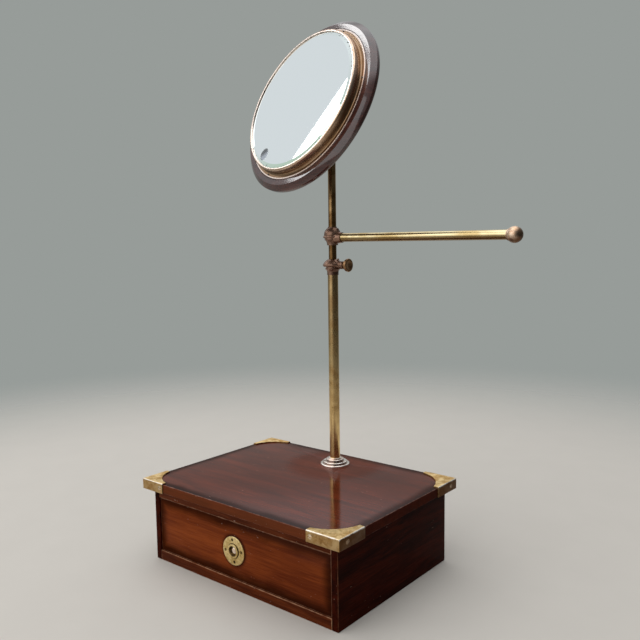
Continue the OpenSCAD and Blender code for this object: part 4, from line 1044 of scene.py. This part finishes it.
class MIRROR_OT_stage(bpy.types.Operator):
    """Camera, pale floor, soft lamps and backdrop"""

    bl_idname = "shaving_mirror.stage"
    bl_label = "Stage"

    # The floor's radius, and between which distances it fades
    floor_radius = 1.6
    fade = (0.55, 1.45)
    # Heights of the glass and of the frame's face along the normal, and how far off their lamps are
    glass_face = 52.3 * MM
    frame_face = 41.3 * MM
    lamp_reach = 1.5

    def execute(self, context):
        look = context.scene.mirror_stage
        self.camera(context.scene, look)
        self.floor(look)
        self.backdrop(context.scene, look)
        self.softbox("softbox", (-0.41, -1.85, 1.08), (0, 0, 0.45), (2.5, 2.1), look.key_power)
        self.softbox("left_lamp", (-1.62, 0.33, 1.25), (0, 0.07, 0.52), (0.6, 0.5), look.left_power)
        self.sky_lamp(look)
        self.rim_lamp(look)
        context.scene.view_settings.view_transform = "Standard"
        return {"FINISHED"}

    def camera(self, scene, look):
        """The photograph's viewpoint."""
        data = bpy.data.cameras.new("camera")
        data.sensor_width, data.lens = 36, look.camera_lens
        data.clip_start, data.clip_end = 0.05, 20
        turn, pitch, roll = look.camera_turn
        camera = bpy.data.objects.new("camera", data)
        camera.matrix_world = (
            Matrix.Translation(look.camera_place)
            @ Matrix.Rotation(turn, 4, "Z")
            @ Matrix.Rotation(math.radians(90) - pitch, 4, "X")
            @ Matrix.Rotation(roll, 4, "Z")
        )
        scene.collection.objects.link(camera)
        scene.camera = camera

    def floor(self, look):
        """A pale round floor that fades into the backdrop."""
        floor = add(
            bpy.ops.mesh.primitive_circle_add, "floor", vertices=128, radius=self.floor_radius,
            fill_type="NGON", location=(0, 0, 0),
        )
        material, tree, shader, where = new_material("Matt painted floor")
        darker = [0.94 * c for c in look.floor]
        cloudy = lumps(tree, where, (60, 60, 60), 4)
        paint = add_node(tree, "Mix", (cloudy, look.floor, darker))
        fill(shader, {"Base Color": paint, "Roughness": 0.9})
        away = add_node(tree, "VectorMath", (where,), operation="LENGTH")
        gone = add_node(tree, "MapRange", (away, *self.fade))
        clear = add_node(tree, "BsdfTransparent")
        faded = add_node(tree, "MixShader", (gone, shader.outputs[0], clear))
        fill(tree.nodes["Material Output"], {"Surface": faded})
        floor.data.materials.append(material)

    def backdrop(self, scene, look):
        """A plain grey wall, in shade on the right, under a pale sky that is brightest overhead."""
        world = bpy.data.worlds.new("Soft studio backdrop")
        world.use_nodes = True
        tree = world.node_tree
        tree.nodes.clear()
        towards = add_node(tree, "TexCoord", output="Generated")
        level = add_node(tree, "VectorMath", (towards, LEVEL), operation="MULTIPLY")
        flat = add_node(tree, "VectorMath", (level,), operation="NORMALIZE")
        shade = self.side_mask(tree, flat, (1, 0, 0), 105, 35)
        wall = add_node(tree, "Mix", (shade, look.behind, look.right))
        sky = add_node(tree, "Mix", (shade, look.sky, look.shaded_sky))
        height = add_node(tree, "SeparateXYZ", (towards,), output="Z")
        # The sky reaches lower on the open left, where the lower bevel of the glass looks
        open_left = self.side_mask(tree, flat, (-0.966, -0.259, 0), 46, 20)
        lowered = add_node(tree, "Math", (open_left, 0.16, height), operation="MULTIPLY_ADD")
        sky = add_node(tree, "Mix", (add_node(tree, "MapRange", (lowered, 0.33, 0.47)), wall, sky))
        top = add_node(tree, "MapRange", (height, 0.74, 0.92))
        sky = add_node(tree, "Mix", (top, sky, look.above))
        strength = add_node(tree, "Math", (top, look.overhead - 1, 1.0), operation="MULTIPLY_ADD")
        add_node(tree, "OutputWorld", (add_node(tree, "Background", (sky, strength)),))
        scene.world = world

    def side_mask(self, tree, flat, way, start, full):
        """1 towards one side of the backdrop, fading to 0 between two angles from its middle."""
        along = add_node(tree, "VectorMath", (flat, way), operation="DOT_PRODUCT")
        limits = [math.cos(math.radians(angle)) for angle in (start, full)]
        return add_node(tree, "MapRange", (along, *limits))

    def lamp(self, name, matrix, size, power):
        """A rectangular lamp that shines along its own -Z and isn't seen itself."""
        data = bpy.data.lights.new(name, "AREA")
        data.shape, data.size, data.size_y, data.energy = "RECTANGLE", *size, power
        lamp = bpy.data.objects.new(name, data)
        lamp.matrix_world = matrix
        lamp.visible_camera = False
        bpy.context.scene.collection.objects.link(lamp)

    def softbox(self, name, stand, target, size, power):
        """A lamp at one point, aimed at another."""
        aim = (Vector(target) - Vector(stand)).to_track_quat("-Z", "Y").to_matrix().to_4x4()
        self.lamp(name, Matrix.Translation(stand) @ aim, size, power)

    def panel(self, name, middle, sideways, outwards, size, power):
        """A lamp whose width runs sideways, and which faces back along outwards."""
        axes = Matrix((sideways, outwards.cross(sideways), outwards)).transposed().to_4x4()
        self.lamp(name, Matrix.Translation(middle) @ axes, size, power)

    def seen_from(self, look, height):
        """The camera's image behind a flat face of the mirror, at a height along the normal."""
        camera = Vector(look.camera_place)
        face = MIRROR_PLACE @ Vector((0, 0, height))
        return camera - 2 * (camera - face).dot(FACING) * FACING

    def sky_lamp(self, look):
        """A bright panel whose straight edge shows across the right of the glass."""
        size = (0.2, 0.45)
        eye = self.seen_from(look, self.glass_face)
        ends = []
        # Where the bright edge crosses the glass, in millimetres across it
        for x, y in ((79.7, 13.2), (28.9, -67.7)):
            point = MIRROR_PLACE @ Vector((x * MM, y * MM, self.glass_face))
            ends.append(point + (point - eye).normalized() * self.lamp_reach)
        middle = (ends[0] + ends[1]) / 2
        outwards = (middle - eye).normalized()
        sideways = (ends[0] - ends[1]).normalized().cross(outwards).normalized()
        if sideways.dot(ACROSS) < 0:
            sideways.negate()
        middle += sideways * size[0] / 2
        self.panel("sky_lamp", middle, sideways, outwards, size, look.sky_power)

    def rim_lamp(self, look):
        """A bright panel that the varnish of the turned frame shows at its upper right."""
        # Where on the frame's face, and how wide and long, the light shows
        turn, start, wide, span = math.radians(50), 91 * MM, 22 * MM, 70 * MM
        eye = self.seen_from(look, self.frame_face)
        radial = Vector((math.cos(turn), math.sin(turn), 0))
        spot = MIRROR_PLACE @ (radial * (start + wide / 2) + Vector((0, 0, self.frame_face)))
        outwards = (spot - eye).normalized()
        grow = ((spot - eye).length + self.lamp_reach) / (spot - eye).length
        sideways = MIRROR_PLACE.to_3x3() @ radial
        sideways -= sideways.dot(outwards) * outwards
        size = (wide * sideways.length * grow, span * grow)
        middle = spot + outwards * self.lamp_reach
        self.panel("rim_lamp", middle, sideways.normalized(), outwards, size, look.rim_power)


class MIRROR_PT_panel(bpy.types.Panel):
    """Lists the pieces of the mirror and their settings"""

    bl_idname = "MIRROR_PT_panel"
    bl_label = "Shaving Mirror"
    bl_space_type = "VIEW_3D"
    bl_region_type = "UI"
    bl_category = "Shaving Mirror"

    def draw(self, context):
        for operator in OPERATORS:
            self.layout.operator(operator.bl_idname)
        for group in SETTINGS:
            settings = getattr(context.scene, group)
            for name in settings.__annotations__:
                self.layout.prop(settings, name)


SETTINGS = {
    "mirror_case": CaseSettings,
    "mirror_column": ColumnSettings,
    "mirror_head": MirrorSettings,
    "mirror_stage": StageSettings,
}
OPERATORS = (
    MIRROR_OT_case, MIRROR_OT_top, MIRROR_OT_caps, MIRROR_OT_drawer, MIRROR_OT_knob,
    MIRROR_OT_column, MIRROR_OT_arm, MIRROR_OT_pivot, MIRROR_OT_head, MIRROR_OT_stage,
)


def register():
    for group in SETTINGS.values():
        bpy.utils.register_class(group)
    for name, group in SETTINGS.items():
        setattr(bpy.types.Scene, name, PointerProperty(type=group))
    for made in (*OPERATORS, MIRROR_PT_panel):
        bpy.utils.register_class(made)


def unregister():
    for made in (MIRROR_PT_panel, *reversed(OPERATORS)):
        bpy.utils.unregister_class(made)
    for name in SETTINGS:
        delattr(bpy.types.Scene, name)
    for group in SETTINGS.values():
        bpy.utils.unregister_class(group)


def main():
    register()
    bpy.ops.shaving_mirror.case()
    bpy.ops.shaving_mirror.top()
    bpy.ops.shaving_mirror.caps()
    bpy.ops.shaving_mirror.drawer()
    bpy.ops.shaving_mirror.knob()
    bpy.ops.shaving_mirror.column()
    bpy.ops.shaving_mirror.arm()
    bpy.ops.shaving_mirror.pivot()
    bpy.ops.shaving_mirror.head()
    bpy.ops.shaving_mirror.stage()


if __name__ == "__main__":
    main()
